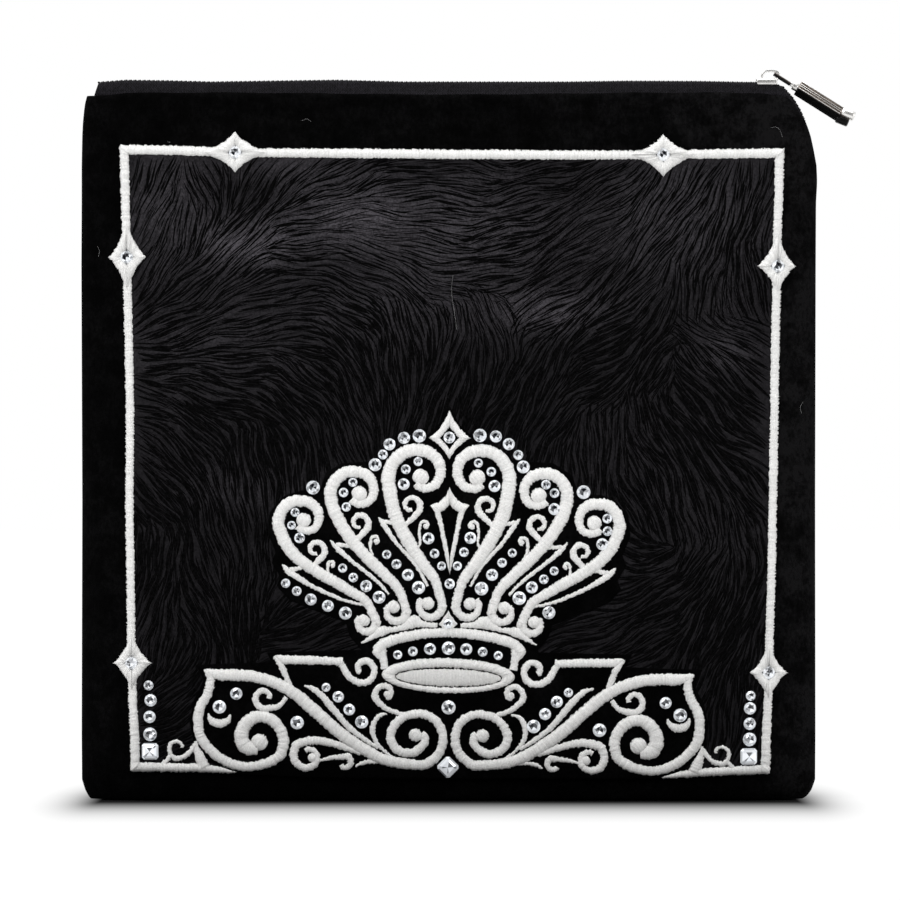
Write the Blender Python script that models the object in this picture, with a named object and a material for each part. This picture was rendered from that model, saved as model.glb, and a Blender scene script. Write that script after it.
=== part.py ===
"""Zip-top velvet bag with an inset figured panel, a white stitched frame and a crown.

The bag stands on z = 0 with its front towards -Y.  Shapes are worked out in
millimetres and made into meshes in metres.
"""
import bpy
import bmesh
from math import atan2, ceil, cos, degrees, hypot, pi, radians, sin, sqrt
from mathutils import Matrix, Vector

MM = 0.001

# Bag, in millimetres.
TOP = 236.9            # upper edge of the velvet
BELLY = 17.0           # half depth at the fullest height
BELLY_HEIGHT = 78.0
MOUTH = 6.4            # half depth at the upper edge
FOOT = 11.0            # half depth of the strip the bag stands on
FOOT_ROUND = 13.0      # height of the rounding above the strip
CLOTH = 1.2            # velvet wall
GAP = 0.3              # clearance between pieces

# Layers above the front velvet.
INLAY_LOW, INLAY_HIGH = GAP, GAP + 1.0
STITCH_LOW = INLAY_HIGH + GAP
STITCH_RISE = 1.2
FRAME_RISE = 2.1
STONE_RISE = 0.87      # height of a stone over its radius
TABLE = 0.56           # a stone's table over its width
CORNER_CUT = radians(9.0)

# Embroidery chart: columns run from the left, rows from the top.
GRID = 0.336
AXIS_COLUMN = 449.0
FOOT_ROW = 800.0
RIGHT_DROP = 0.021     # the right half is sewn this much lower for each column out

# Sides of the bag by height: the right shoulder slants in under the slider.
SIDES = (
    # height, left, right
    (0.0, -115.6, 111.2),
    (1.0, -118.3, 116.2),
    (3.2, -121.4, 120.6),
    (6.5, -123.3, 122.9),
    (22.0, -123.5, 123.1),
    (100.0, -123.1, 122.7),
    (180.0, -123.5, 123.1),
    (208.0, -123.4, 123.5),
    (222.0, -123.2, 120.6),
    (231.0, -122.9, 115.6),
    (TOP, -121.7, 112.6),
)
PANEL_COLUMNS = 7      # on each side of the middle
PANEL_HEIGHTS = (0.0, 1.0, 3.2, 6.5, 13.0, 30.0, 60.0, 100.0, 145.0, 180.0, 205.0, 222.0, TOP)
FOOT_ROWS = (-1.0, 0.0, 1.0)

# Zip.
CHAIN_Z = 241.1
CHAIN_HALF_WIDTH = 2.7
CHAIN_HALF_THICK = 0.85
TAPE_THICK = 1.0
PIN_X, PIN_Z = 110.2, 244.2
PULL_REST = radians(-33.5)


def lerp(a, b, t):
    return a + (b - a) * t


def between(rows, x, column):
    """Value of one column of a table at x, with the rows sorted by their first column."""
    if x <= rows[0][0]:
        return rows[0][column]
    for low, high in zip(rows, rows[1:]):
        if x <= high[0]:
            t = (x - low[0]) / (high[0] - low[0])
            return lerp(low[column], high[column], t)
    return rows[-1][column]


def smooth(t):
    t = min(1.0, max(0.0, t))
    return t * t * (3.0 - 2.0 * t)


def middle_depth(z):
    """Half depth of the bag on its middle line."""
    if z < BELLY_HEIGHT:
        return lerp(FOOT + 2.2, BELLY, sin(0.5 * pi * z / BELLY_HEIGHT))
    return lerp(BELLY, MOUTH, smooth((z - BELLY_HEIGHT) / (TOP - BELLY_HEIGHT)))


def depth(x, z):
    """Half depth at a place on the face: nil at the side seams, full in the middle."""
    left, right = between(SIDES, z, 1), between(SIDES, z, 2)
    across = (2.0 * x - left - right) / (right - left)
    squareness = lerp(5.0, 30.0, smooth((z - 150.0) / (TOP - 150.0)))
    profile = sqrt(max(0.0, 1.0 - min(1.0, abs(across)) ** squareness))
    full = middle_depth(z) * profile
    if z >= FOOT_ROUND:
        return full
    foot = FOOT * sqrt(max(0.0, 1.0 - min(1.0, abs(across)) ** 5.0))
    return lerp(foot, max(foot, full), sqrt(1.0 - (1.0 - z / FOOT_ROUND) ** 2))


def chart(column, row, side=-1):
    """Place on the face of a chart point of the left half, or of its mirror image."""
    out = column - AXIS_COLUMN
    up = FOOT_ROW - row
    if side > 0:
        up -= RIGHT_DROP * abs(out)
        out = -out
    return out * GRID, up * GRID


def column_shares():
    """Where the wall's columns stand, from -1 at the left side to 1 at the right."""
    return [sin(0.5 * pi * k / PANEL_COLUMNS) for k in range(-PANEL_COLUMNS, PANEL_COLUMNS + 1)]


def row_depth(z, share):
    """Half depth along one row of the wall's facets."""
    left, right = between(SIDES, z, 1), between(SIDES, z, 2)
    shares = column_shares()
    for low, high in zip(shares, shares[1:]):
        if share <= high:
            ends = [depth(lerp(left, right, (s + 1.0) / 2.0), z) for s in (low, high)]
            return lerp(*ends, (share - low) / (high - low))
    return 0.0


def faceted_depth(x, z):
    """Half depth of the wall's facets, which all that is sewn on lies on."""
    left, right = between(SIDES, z, 1), between(SIDES, z, 2)
    share = max(-1.0, min(1.0, (2.0 * x - left - right) / (right - left)))
    for low, high in zip(PANEL_HEIGHTS, PANEL_HEIGHTS[1:]):
        if z <= high:
            return lerp(row_depth(low, share), row_depth(high, share), (z - low) / (high - low))
    return row_depth(TOP, share)


def on_face(x, z, lift):
    return Vector((x, -(faceted_depth(x, z) + GAP / 2 + lift), z))


# Meshes and materials

def material(name, colour, roughness, metallic=0.0):
    made = bpy.data.materials.get(name) or bpy.data.materials.new(name)
    made.use_nodes = True
    shader = made.node_tree.nodes["Principled BSDF"]
    shader.inputs["Base Color"].default_value = (*colour, 1.0)
    shader.inputs["Roughness"].default_value = roughness
    shader.inputs["Metallic"].default_value = metallic
    return made


FINISHES = {
    "velvet": ((0.006, 0.006, 0.007), 0.95, 0.0),
    "figured": ((0.025, 0.024, 0.026), 0.55, 0.0),
    "thread": ((0.82, 0.81, 0.78), 0.55, 0.0),
    "tape": ((0.012, 0.012, 0.013), 0.8, 0.0),
    "coil": ((0.02, 0.02, 0.022), 0.4, 0.0),
    "nickel": ((0.75, 0.74, 0.72), 0.22, 1.0),
    "crystal": ((0.85, 0.86, 0.9), 0.05, 0.6),
}


def solid(name, points, faces, finish, rounded=True):
    """One object from points in millimetres, with its faces turned outwards."""
    mesh = bpy.data.meshes.new(name)
    mesh.from_pydata([tuple(Vector(p) * MM) for p in points], [], faces)
    work = bmesh.new()
    work.from_mesh(mesh)
    bmesh.ops.remove_doubles(work, verts=work.verts, dist=0.000002)
    bmesh.ops.dissolve_degenerate(work, edges=work.edges, dist=0.000001)
    bmesh.ops.recalc_face_normals(work, faces=work.faces)
    bmesh.ops.triangulate(work, faces=work.faces)
    if work.calc_volume(signed=True) < 0.0:
        bmesh.ops.reverse_faces(work, faces=work.faces)
    work.to_mesh(mesh)
    work.free()
    made = bpy.data.objects.new(name, mesh)
    bpy.context.collection.objects.link(made)
    mesh.materials.append(material(finish, *FINISHES[finish]))
    if rounded:
        mesh.shade_smooth()
        mesh.set_sharp_from_angle(angle=radians(35.0))
    return made


def combine(base, others, operation="UNION", flat=2.5):
    """Boolean of one object with others, which are used up; nearly flat places get fewer facets."""
    for other in others:
        cut = base.modifiers.new(operation.lower(), "BOOLEAN")
        cut.operation = operation
        cut.solver = "EXACT"
        cut.object = other
        applied(base)
        bpy.data.objects.remove(other)
    work = bmesh.new()
    work.from_mesh(base.data)
    bmesh.ops.remove_doubles(work, verts=work.verts, dist=0.000004)
    bmesh.ops.dissolve_degenerate(work, edges=work.edges, dist=0.000004)
    bmesh.ops.dissolve_limit(work, angle_limit=radians(flat), verts=work.verts, edges=work.edges)
    bmesh.ops.triangulate(work, faces=work.faces)
    bmesh.ops.dissolve_degenerate(work, edges=work.edges, dist=0.000004)
    work.to_mesh(base.data)
    work.free()
    return base


# Cloth walls

def face_columns(z):
    left, right = between(SIDES, z, 1), between(SIDES, z, 2)
    return [lerp(left, right, (s + 1.0) / 2.0) for s in column_shares()]


def grid_faces(rows, columns, offset=0):
    return [(offset + r * columns + c, offset + r * columns + c + 1,
             offset + (r + 1) * columns + c + 1, offset + (r + 1) * columns + c)
            for r in range(rows - 1) for c in range(columns - 1)]


def outward(sheet, towards):
    """Turn an open sheet's faces to the side of the given direction."""
    work = bmesh.new()
    work.from_mesh(sheet.data)
    total = sum((f.normal * f.calc_area() for f in work.faces), Vector())
    if total.dot(Vector(towards)) < 0.0:
        bmesh.ops.reverse_faces(work, faces=work.faces)
        work.to_mesh(sheet.data)
    work.free()


def applied(made):
    """Put the evaluated mesh in place of the object's own."""
    mesh = bpy.data.meshes.new_from_object(
        made.evaluated_get(bpy.context.evaluated_depsgraph_get()))
    made.modifiers.clear()
    old = made.data
    name = old.name
    made.data = mesh
    bpy.data.meshes.remove(old)
    mesh.name = name


def thick_sheet(name, rows, towards, keep_clear):
    """A closed wall with the given outer side, kept on its own side of the seam."""
    count = len(rows[0])
    sheet = solid(name, [p for row in rows for p in row], grid_faces(len(rows), count), "velvet")
    outward(sheet, towards)
    wall = sheet.modifiers.new("wall", "SOLIDIFY")
    wall.thickness = CLOTH * MM
    wall.offset = -1.0
    wall.use_even_offset = True
    wall.use_quality_normals = True
    applied(sheet)
    for vertex in sheet.data.vertices:
        x, y, z = vertex.co / MM
        vertex.co.y = keep_clear(x, y, z) * MM
    return sheet


def seam(x, z):
    """Where the two panels meet: the middle plane, and behind the foot below."""
    return depth(x, 0.0) if z < 1.6 * CLOTH else 0.0


def front_panel():
    rows = [[Vector((x, -(depth(x, z) + GAP / 2), z)) for x in face_columns(z)]
            for z in reversed(PANEL_HEIGHTS)]
    for along in FOOT_ROWS[1:]:
        rows.append([Vector((x, along * (depth(x, 0.0)) - GAP / 2, 0.0))
                     for x in face_columns(0.0)])
    return thick_sheet("front_panel", rows, (0.0, -1.0, -0.2),
                       lambda x, y, z: min(y, seam(x, z) - GAP / 2))


def back_panel():
    rows = [[Vector((x, depth(x, z) + GAP / 2, z)) for x in face_columns(z)]
            for z in PANEL_HEIGHTS]
    return thick_sheet("back_panel", rows, (0.0, 1.0, 0.0),
                       lambda x, y, z: max(y, seam(x, z) + GAP / 2))


def face_layer(name, low, high, finish):
    """A closed layer over the whole face, between two lifts above the velvet."""
    heights = [z for z in PANEL_HEIGHTS if z >= 1.0]
    points = []
    for lift in (high, low):
        for z in heights:
            points += [on_face(x, z, lift) for x in face_columns(z)[1:-1]]
    columns = 2 * PANEL_COLUMNS - 1
    half = len(heights) * columns
    faces = grid_faces(len(heights), columns) + grid_faces(len(heights), columns, half)
    rim = [c for c in range(columns)]
    rim += [r * columns + columns - 1 for r in range(1, len(heights))]
    rim += [half - 1 - c for c in range(1, columns)]
    rim += [r * columns for r in range(len(heights) - 2, 0, -1)]
    for a, b in zip(rim, rim[1:] + rim[:1]):
        faces.append((a, b, b + half, a + half))
    return solid(name, points, faces, finish)


def prism(name, outline):
    """A cutter through the front: an outline of face places run along Y."""
    count = len(outline)
    points = [(x, y, z) for y in (-60.0, 0.0) for x, z in outline]
    faces = [tuple(range(count)), tuple(range(2 * count - 1, count - 1, -1))]
    faces += [(k, (k + 1) % count, count + (k + 1) % count, count + k) for k in range(count)]
    return solid(name, points, faces, "velvet", rounded=False)


# Strokes of embroidery

def turn(column, row, radius, start, stop, half):
    """Stations round a centre; radius and half width run from a first to a last value."""
    count = max(2, ceil(abs(stop - start) / 32.0))
    made = []
    for k in range(count + 1):
        t = k / count
        angle = radians(lerp(start, stop, t))
        reach = lerp(radius[0], radius[1], t)
        made.append((column + reach * cos(angle), row - reach * sin(angle),
                     lerp(half[0], half[1], t)))
    return made


def curve_through(stations, fine=8):
    """Catmull-Rom curve through (column, row, half width) stations."""
    ends = [stations[0]] + list(stations) + [stations[-1]]
    made = []
    for a, b, c, d in zip(ends, ends[1:], ends[2:], ends[3:]):
        for k in range(fine):
            t = k / fine
            made.append(tuple(0.5 * (2 * q + (r - p) * t + (2 * p - 5 * q + 4 * r - s) * t * t
                                     + (3 * q - p - 3 * r + s) * t ** 3)
                              for p, q, r, s in zip(a, b, c, d)))
    made.append(tuple(stations[-1]))
    return made


def thin_out(line, run=38.0):
    """Keep the points where the line has bent or run on enough; slender lines bend further."""
    bend = 33.0 if max(half for _, _, half in line) > 3.3 else 45.0
    kept = [line[0]]
    heading = None
    for before, here, after in zip(line, line[1:], line[2:]):
        ahead = atan2(after[1] - here[1], after[0] - here[0])
        if heading is None:
            heading = atan2(here[1] - before[1], here[0] - before[0])
        bent = abs((degrees(ahead - heading) + 180.0) % 360.0 - 180.0)
        gone = hypot(here[0] - kept[-1][0], here[1] - kept[-1][1])
        if gone > 1.5 and (bent > bend or gone > run):
            kept.append(here)
            heading = ahead
    kept.append(line[-1])
    return kept


def divided(stations, run=42.0):
    """The same straight runs with enough stations to follow the wall."""
    made = [stations[0]]
    for a, b in zip(stations, stations[1:]):
        parts = ceil(hypot(b[0] - a[0], b[1] - a[1]) / run)
        made += [tuple(lerp(u, v, k / parts) for u, v in zip(a, b)) for k in range(1, parts + 1)]
    return made


def stroke(name, stations, side=-1, low=STITCH_LOW, rise=STITCH_RISE, straight=False):
    """A raised line of stitching: flat below, with a ridge along its middle."""
    line = divided(stations) if straight else thin_out(curve_through(stations))
    count = len(line)
    points = []
    for k, (column, row, half) in enumerate(line):
        back = line[max(0, k - 1)]
        ahead = line[min(count - 1, k + 1)]
        into = Vector((column - back[0], row - back[1]))
        out = Vector((ahead[0] - column, ahead[1] - row))
        into = into.normalized() if into.length > 1e-6 else out.normalized()
        out = out.normalized() if out.length > 1e-6 else into
        along = (into + out).normalized()
        mitre = min(1.6, 1.0 / max(0.3, along.dot(into)))
        across = Vector((-along.y, along.x)) * max(half, 0.45) * mitre
        crest = low + rise * min(1.0, 0.35 + half / 6.0)
        points.append(on_face(*chart(column + across.x, row + across.y, side), low))
        points.append(on_face(*chart(column - across.x, row - across.y, side), low))
        points.append(on_face(*chart(column, row, side), crest))
    faces = [(0, 1, 2), (3 * count - 1, 3 * count - 2, 3 * count - 3)]
    for k in range(count - 1):
        a, b = 3 * k, 3 * (k + 1)
        faces += [(a, b, b + 1, a + 1), (a + 1, b + 1, b + 2, a + 2), (a + 2, b + 2, b, a)]
    return solid(name, points, faces, "thread")


def ball(name, column, row, radius, side=-1, sides=9):
    """The round end of a scroll."""
    points = []
    for reach, lift in ((1.0, 0.0), (0.62, 0.85)):
        for k in range(sides):
            angle = 2.0 * pi * k / sides
            place = chart(column + reach * radius * cos(angle), row + reach * radius * sin(angle), side)
            points.append(on_face(*place, STITCH_LOW - 0.04 + lift * STITCH_RISE))
    points.append(on_face(*chart(column, row, side), STITCH_LOW + 1.05 * STITCH_RISE))
    points.append(on_face(*chart(column, row, side), STITCH_LOW - 0.04))
    top, base = 2 * sides, 2 * sides + 1
    faces = []
    for k in range(sides):
        n = (k + 1) % sides
        faces += [(k, n, sides + n, sides + k), (sides + k, sides + n, top), (n, k, base)]
    return solid(name, points, faces, "thread")


def ring_plate(name, outer, inner, side=-1, low=STITCH_LOW, rise=STITCH_RISE):
    """A raised border between two outlines with the same number of chart points."""
    count = len(outer)
    points = [on_face(*chart(c, r, side), low) for c, r in list(outer) + list(inner)]
    points += [on_face(*chart((a + c) / 2.0, (b + d) / 2.0, side), low + rise)
               for (a, b), (c, d) in zip(outer, inner)]
    faces = []
    for k in range(count):
        n = (k + 1) % count
        faces += [(k, n, count + n, count + k), (k, n, 2 * count + n, 2 * count + k),
                  (count + k, count + n, 2 * count + n, 2 * count + k)]
    return solid(name, points, faces, "thread")


def star(name, centre, up, down, left, right, hole, side=-1, low=STITCH_LOW, rise=STITCH_RISE,
         waist=(0.27, 0.27)):
    """A four-pointed star with hollow sides and a diamond hole, as one ring."""
    column, row = centre
    tips = ((0.0, -up), (right, 0.0), (0.0, down), (-left, 0.0))
    across, tall = hole
    corners = ((0.0, -tall), (across, 0.0), (0.0, tall), (-across, 0.0))
    outer, inner = [], []
    for (x0, y0), (x1, y1), (u0, v0), (u1, v1) in zip(tips, tips[1:] + tips[:1],
                                                      corners, corners[1:] + corners[:1]):
        outer += [(column + x0, row + y0),
                  (column + (x0 + x1) * waist[0], row + (y0 + y1) * waist[1])]
        inner += [(column + u0, row + v0), (column + (u0 + u1) / 2.0, row + (v0 + v1) / 2.0)]
    return ring_plate(name, outer, inner, side, low, rise)


# Stones

def corner_angles(sides, square, turned):
    """Directions of a stone's corners: evenly round, or in pairs at a square's cut corners."""
    if square:
        return [pi / 4 + pi / 2 * (k // 2) + CORNER_CUT * (2 * (k % 2) - 1) + turned
                for k in range(8)]
    return [2.0 * pi * (k + 0.5) / sides for k in range(sides)]


def stone(name, column, row, radius, side=-1, low=STITCH_LOW, sides=8, square=False, turned=0.0):
    """A cut stone: a ring of facets round a table."""
    x, z = chart(column, row, side)
    size = radius * GRID
    angles = corner_angles(sides, square, turned)
    sides = len(angles)
    shape = []
    for reach, lift in ((1.0, 0.0), (TABLE, 1.0)):
        for angle in angles:
            shape.append((reach * size * cos(angle), reach * size * sin(angle),
                          lift * size * STONE_RISE))
    base = on_face(x, z, low)
    slope_x = (faceted_depth(x + 1.0, z) - faceted_depth(x - 1.0, z)) / 2.0
    slope_z = (faceted_depth(x, z + 1.0) - faceted_depth(x, z - 1.0)) / 2.0
    normal = Vector((-slope_x, -1.0, -slope_z)).normalized()
    right = Vector((1.0, 0.0, 0.0))
    upward = right.cross(normal).normalized() * -1.0
    right = normal.cross(upward).normalized() * -1.0
    points = [base + right * a + upward * b + normal * c for a, b, c in shape]
    faces = [tuple(range(sides)), tuple(range(2 * sides - 1, sides - 1, -1))]
    faces += [(k, (k + 1) % sides, sides + (k + 1) % sides, sides + k) for k in range(sides)]
    return solid(name, points, faces, "crystal", rounded=False)


# The crown's plumes: each row gives one plume of the left half.
PLUMES = {
    # head centre, radii right, top, left; half widths; ball; stem; foot
    1: dict(head=(421.0, 474.0), radii=(17.5, 24.0, 34.0), halves=(4.6, 6.4, 7.0),
            ball=(420.8, 477.0, 8.2),
            stem=((395.0, 514.0, 6.9), (409.0, 542.5, 6.6), (424.0, 565.0, 6.0),
                  (435.0, 580.0, 5.0)),
            foot=(430.3, 605.6, 12.0), foot_ball=(428.0, 603.2, 6.4),
            curl=(411.2, 505.3, 9.0), curl_end=(405.0, 524.5),
            tendril=(424.9, 525.0, 4.6), tendril_tail=((419.2, 533.0), (420.2, 542.0), (417.0, 551.0)),
            thorn=((378.4, 517.2, 0.6), (384.2, 525.0, 2.6), (396.6, 543.0, 1.9),
                   (410.0, 557.5, 1.8), (420.0, 571.5, 1.6), (427.5, 586.0, 1.2)),
            spur=((382.5, 521.2, 2.2), (396.0, 523.6, 1.8))),
    2: dict(head=(356.5, 490.0), radii=(17.0, 18.2, 27.0), halves=(4.4, 5.9, 6.4),
            ball=(359.4, 493.6, 7.8),
            stem=((335.6, 513.6, 6.6), (348.0, 535.0, 6.3), (364.6, 554.6, 6.0),
                  (384.0, 573.4, 5.6), (398.5, 589.0, 4.9)),
            foot=(396.2, 611.3, 10.2), foot_ball=(393.6, 606.6, 6.4),
            curl=(359.6, 522.6, 8.9), curl_end=(354.0, 543.0),
            tendril=(375.3, 540.0, 4.4), tendril_tail=((370.2, 547.0), (372.6, 555.0), (372.0, 562.5)),
            thorn=((330.6, 540.0, 0.6), (337.6, 548.4, 2.6), (354.0, 562.6, 1.9),
                   (369.0, 574.2, 1.8), (381.5, 585.5, 1.6), (389.0, 594.0, 1.2)),
            spur=((336.0, 544.6, 2.2), (352.0, 545.6, 1.8))),
    3: dict(head=(302.6, 517.0), radii=(16.8, 16.0, 25.0), halves=(4.1, 5.7, 6.2),
            ball=(303.8, 520.0, 7.3),
            stem=((285.8, 543.0, 6.2), (297.4, 557.2, 6.0), (315.0, 570.2, 5.8),
                  (334.0, 581.0, 5.4), (351.8, 591.8, 5.0), (366.4, 601.4, 4.6)),
            foot=(366.6, 622.4, 9.6), foot_ball=(364.0, 620.2, 6.2),
            curl=(316.2, 549.3, 8.6), curl_end=(312.0, 568.5),
            tendril=(331.6, 564.2, 3.4), tendril_tail=((327.8, 569.5), (329.0, 575.0), (330.0, 580.0)),
            thorn=((282.6, 564.2, 0.6), (290.5, 572.6, 3.2), (311.1, 585.2, 2.2),
                   (330.0, 594.2, 1.9), (346.0, 600.6, 1.6), (364.0, 604.6, 1.2)),
            spur=((290.0, 570.2, 2.6), (304.0, 567.0, 2.0))),
}


def plume(name, number, side):
    p = PLUMES[number]
    column, row = p["head"]
    right, top, left = p["radii"]
    narrow, wide, stem_half = p["halves"]
    main = turn(column, row, (right * 0.74, right), -102.0, -40.0, (narrow - 0.8, narrow))
    main += turn(column, row, (right, top), -40.0, 95.0, (narrow, wide))[1:]
    main += turn(column, row, (top, left), 95.0, 200.0, (wide, stem_half))[1:]
    main += p["stem"]
    foot_column, foot_row, foot_radius = p["foot"]
    main += turn(foot_column, foot_row, (foot_radius, foot_radius * 0.94), 8.0, -212.0, (4.4, 3.4))
    pieces = [ball(name + "_ball", *p["ball"], side), ball(name + "_foot", *p["foot_ball"], side, 7)]
    curl_column, curl_row, curl_radius = p["curl"]
    curl = turn(curl_column, curl_row, (curl_radius * 0.7, curl_radius), 285.0, 0.0, (0.8, 3.1))
    curl += [(*p["curl_end"], 2.2)]
    hook_column, hook_row, hook_radius = p["tendril"]
    tendril = turn(hook_column, hook_row, (hook_radius * 0.8, hook_radius), -60.0, 185.0, (1.6, 1.5))
    tendril += [(c, r, half) for (c, r), half in zip(p["tendril_tail"], (1.3, 1.1, 0.9))]
    pieces += [stroke(name + "_curl", curl, side, STITCH_LOW + 0.03, 0.9),
               stroke(name + "_tendril", tendril, side, STITCH_LOW + 0.06, 0.8),
               stroke(name + "_thorn", p["thorn"], side, STITCH_LOW + 0.05, 0.8),
               stroke(name + "_spur", p["spur"], side, STITCH_LOW + 0.07, 0.75, straight=True)]
    return combine(stroke(name, main, side), pieces)


# The circlet under the plumes

def crown_finial():
    return star("crown_finial", (449.4, 438.0), 28.0, 21.5, 21.0, 21.4, (9.4, 11.0),
                waist=(0.35, 0.35))


def crown_lozenge():
    """The long kite in the middle; its hole runs almost to the lower point."""
    outer = ((0.0, -18.0), (6.5, -8.0), (19.4, 0.0), (12.5, 16.0), (7.0, 38.0), (3.2, 56.0),
             (0.0, 67.0))
    inner = ((0.0, -8.5), (4.0, -4.0), (9.4, 3.0), (6.6, 15.0), (3.4, 32.0), (1.4, 43.0),
             (0.0, 50.0))
    loops = []
    for half in (outer, inner):
        whole = list(half) + [(-x, y) for x, y in half[-2:0:-1]]
        loops.append([(449.6 + x, 506.0 + y) for x, y in whole])
    return ring_plate("crown_lozenge", *loops)


def mirrored(stations):
    """The same stations on the right half of the chart."""
    return [(2.0 * AXIS_COLUMN - c, r + RIGHT_DROP * abs(c - AXIS_COLUMN), half)
            for c, r, half in reversed(stations)]


def crown_band():
    """The circlet's upper roll and posts, with the gem in front of its middle."""
    name = "crown_band"
    roll = [(380.6, 658.0, 2.2), (377.8, 650.5, 5.4), (384.5, 643.0, 5.4), (400.5, 637.6, 5.0),
            (420.0, 634.0, 5.0), (436.0, 632.6, 4.8)]
    post = [(384.4, 646.0, 2.4), (383.8, 655.0, 2.8), (386.4, 665.6, 2.2)]
    middle = [(449.0, 632.2, 4.6)]
    pieces = [star(name + "_gem", (447.8, 623.4), 13.0, 10.0, 10.6, 10.6, (4.8, 6.0),
                   low=STITCH_LOW + 0.02, waist=(0.4, 0.4)),
              stone(name + "_stone", 447.6, 623.2, 4.6, low=STITCH_LOW + 0.1)]
    for side in (-1, 1):
        pieces.append(stroke(f"{name}_post_{side}", post, side, STITCH_LOW + 0.04, 0.9, straight=True))
    return combine(stroke(name, roll + middle + mirrored(roll)), pieces)


def crown_scallop(name, side):
    """The pointed fillet between the feet of the plumes and the circlet."""
    line = [(362.5, 643.0, 0.8), (372.0, 639.4, 1.7), (383.0, 633.4, 1.8), (398.0, 629.8, 1.3),
            (413.0, 624.4, 3.4), (425.0, 625.8, 1.4), (433.5, 625.6, 1.2)]
    return stroke(name, line, side, STITCH_LOW, 0.9)


def ellipse(column, row, across, tall, count, tilt=0.010):
    return [(column + across * cos(2 * pi * k / count),
             row - tall * sin(2 * pi * k / count) + tilt * across * cos(2 * pi * k / count))
            for k in range(count)]


def crown_ring():
    """The rim of the circlet: an oval ring, wider at its ends."""
    count = 28
    outer = ellipse(448.4, 675.4, 66.6, 17.4, count, 0.02)
    inner = ellipse(448.4, 677.2, 53.4, 9.8, count, 0.02)
    return ring_plate("crown_ring", outer, inner)


def ring_fill():
    """The flat satin-stitched oval inside the rim."""
    count = 24
    edge = ellipse(448.4, 677.2, 51.4, 8.4, count, 0.02)
    points = [on_face(*chart(c, r), STITCH_LOW) for c, r in edge]
    points += [on_face(*chart(lerp(448.4, c, 0.96), lerp(677.2, r, 0.8)), STITCH_LOW + 0.9)
               for c, r in edge]
    faces = [tuple(range(count)), tuple(range(2 * count - 1, count - 1, -1))]
    faces += [(k, (k + 1) % count, count + (k + 1) % count, count + k) for k in range(count)]
    return solid("ring_fill", points, faces, "thread")


# The scrolled base, left half

def base_scroll(name, side):
    """Shell, long stem and spiral as one line, with the scrolls that spring from it."""
    top = [(206.0, 671.6, 3.2), (220.0, 674.6, 5.6), (236.0, 675.0, 5.8), (255.0, 676.6, 5.8),
           (276.0, 683.0, 5.8), (296.0, 694.4, 6.0), (318.5, 713.9, 6.2), (342.7, 734.9, 6.2),
           (366.9, 751.0, 6.0), (389.0, 761.0, 5.6)]
    top += turn(416.6, 737.0, (28.4, 26.4), -80.0, 0.0, (5.0, 4.4))
    top += turn(416.6, 737.0, (26.0, 23.4), 22.0, 90.0, (4.4, 4.2))
    top += turn(416.6, 737.0, (23.6, 26.2), 112.0, 180.0, (4.2, 4.4))
    top += turn(416.6, 737.0, (24.0, 13.6), 205.0, 270.0, (4.4, 4.4))
    top += turn(416.6, 737.0, (10.6, 6.6), 300.0, 345.0, (4.0, 3.6))
    shell = [(204.6, 669.2, 1.0), (210.6, 679.0, 4.0), (207.6, 694.0, 4.6), (200.6, 706.3, 5.0),
             (198.4, 721.6, 5.0), (201.6, 738.5, 5.0), (214.4, 753.6, 4.8), (231.0, 763.6, 4.8),
             (247.6, 766.6, 4.6), (266.0, 763.4, 5.0)]
    shell += turn(258.2, 741.4, (25.4, 25.4), -35.0, 70.0, (5.2, 5.8))
    shell += turn(258.2, 741.4, (25.0, 13.6), 92.0, 200.0, (6.2, 7.6))
    shell += [(252.0, 747.8, 6.2)]
    small = turn(264.5, 697.6, (6.8, 11.2), 5.0, 290.0, (1.2, 3.2))
    small += [(279.5, 705.5, 2.6), (286.5, 697.0, 2.2)]
    under = turn(307.8, 756.0, (6.5, 15.6), 100.0, -235.0, (1.2, 4.2))
    under += [(315.0, 740.2, 4.2), (333.0, 743.4, 3.6), (361.0, 752.6, 2.6)]
    comma = [(318.0, 761.0, 1.6), (331.0, 757.6, 2.0), (342.0, 756.8, 2.8)]
    comma += turn(344.8, 762.4, (6.6, 5.4), 70.0, -120.0, (3.2, 1.4))
    leaf = [(355.6, 766.6, 0.8), (363.0, 762.6, 2.0), (374.0, 761.6, 2.0), (388.0, 762.4, 1.6)]
    upper = turn(385.4, 693.6, (5.0, 10.6), -60.0, 190.0, (1.2, 3.2))
    upper += [(378.6, 702.0, 3.0), (388.0, 709.0, 2.6), (404.0, 715.0, 2.2)]
    pieces = [stroke(name + "_shell", shell, side, STITCH_LOW + 0.03),
              ball(name + "_knob", 259.6, 741.8, 8.4, side),
              ball(name + "_eye", 415.4, 734.8, 6.6, side),
              stroke(name + "_small", small, side, STITCH_LOW + 0.06, 0.85),
              stroke(name + "_under", under, side, STITCH_LOW + 0.05, 1.0),
              stroke(name + "_comma", comma, side, STITCH_LOW + 0.07, 0.8),
              stroke(name + "_leaf", leaf, side, STITCH_LOW + 0.08, 0.7),
              stroke(name + "_upper", upper, side, STITCH_LOW + 0.04, 0.85)]
    return combine(stroke(name, top, side), pieces)


def base_leaf(name, side):
    """The two leaves between the long stem and the spiral."""
    long_leaf = [(304.4, 685.6, 0.8), (313.0, 688.4, 2.6), (323.0, 696.6, 3.4), (333.5, 709.0, 3.4),
                 (349.2, 727.0, 2.8), (366.0, 740.0, 2.2), (378.5, 747.4, 1.6)]
    short = [(387.0, 713.4, 0.8), (378.0, 716.6, 2.2), (373.0, 726.0, 2.8), (373.6, 736.0, 2.4),
             (377.6, 746.2, 1.6)]
    return combine(stroke(name, long_leaf, side),
                   [stroke(name + "_short", short, side, STITCH_LOW + 0.05, 0.8)])


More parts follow.
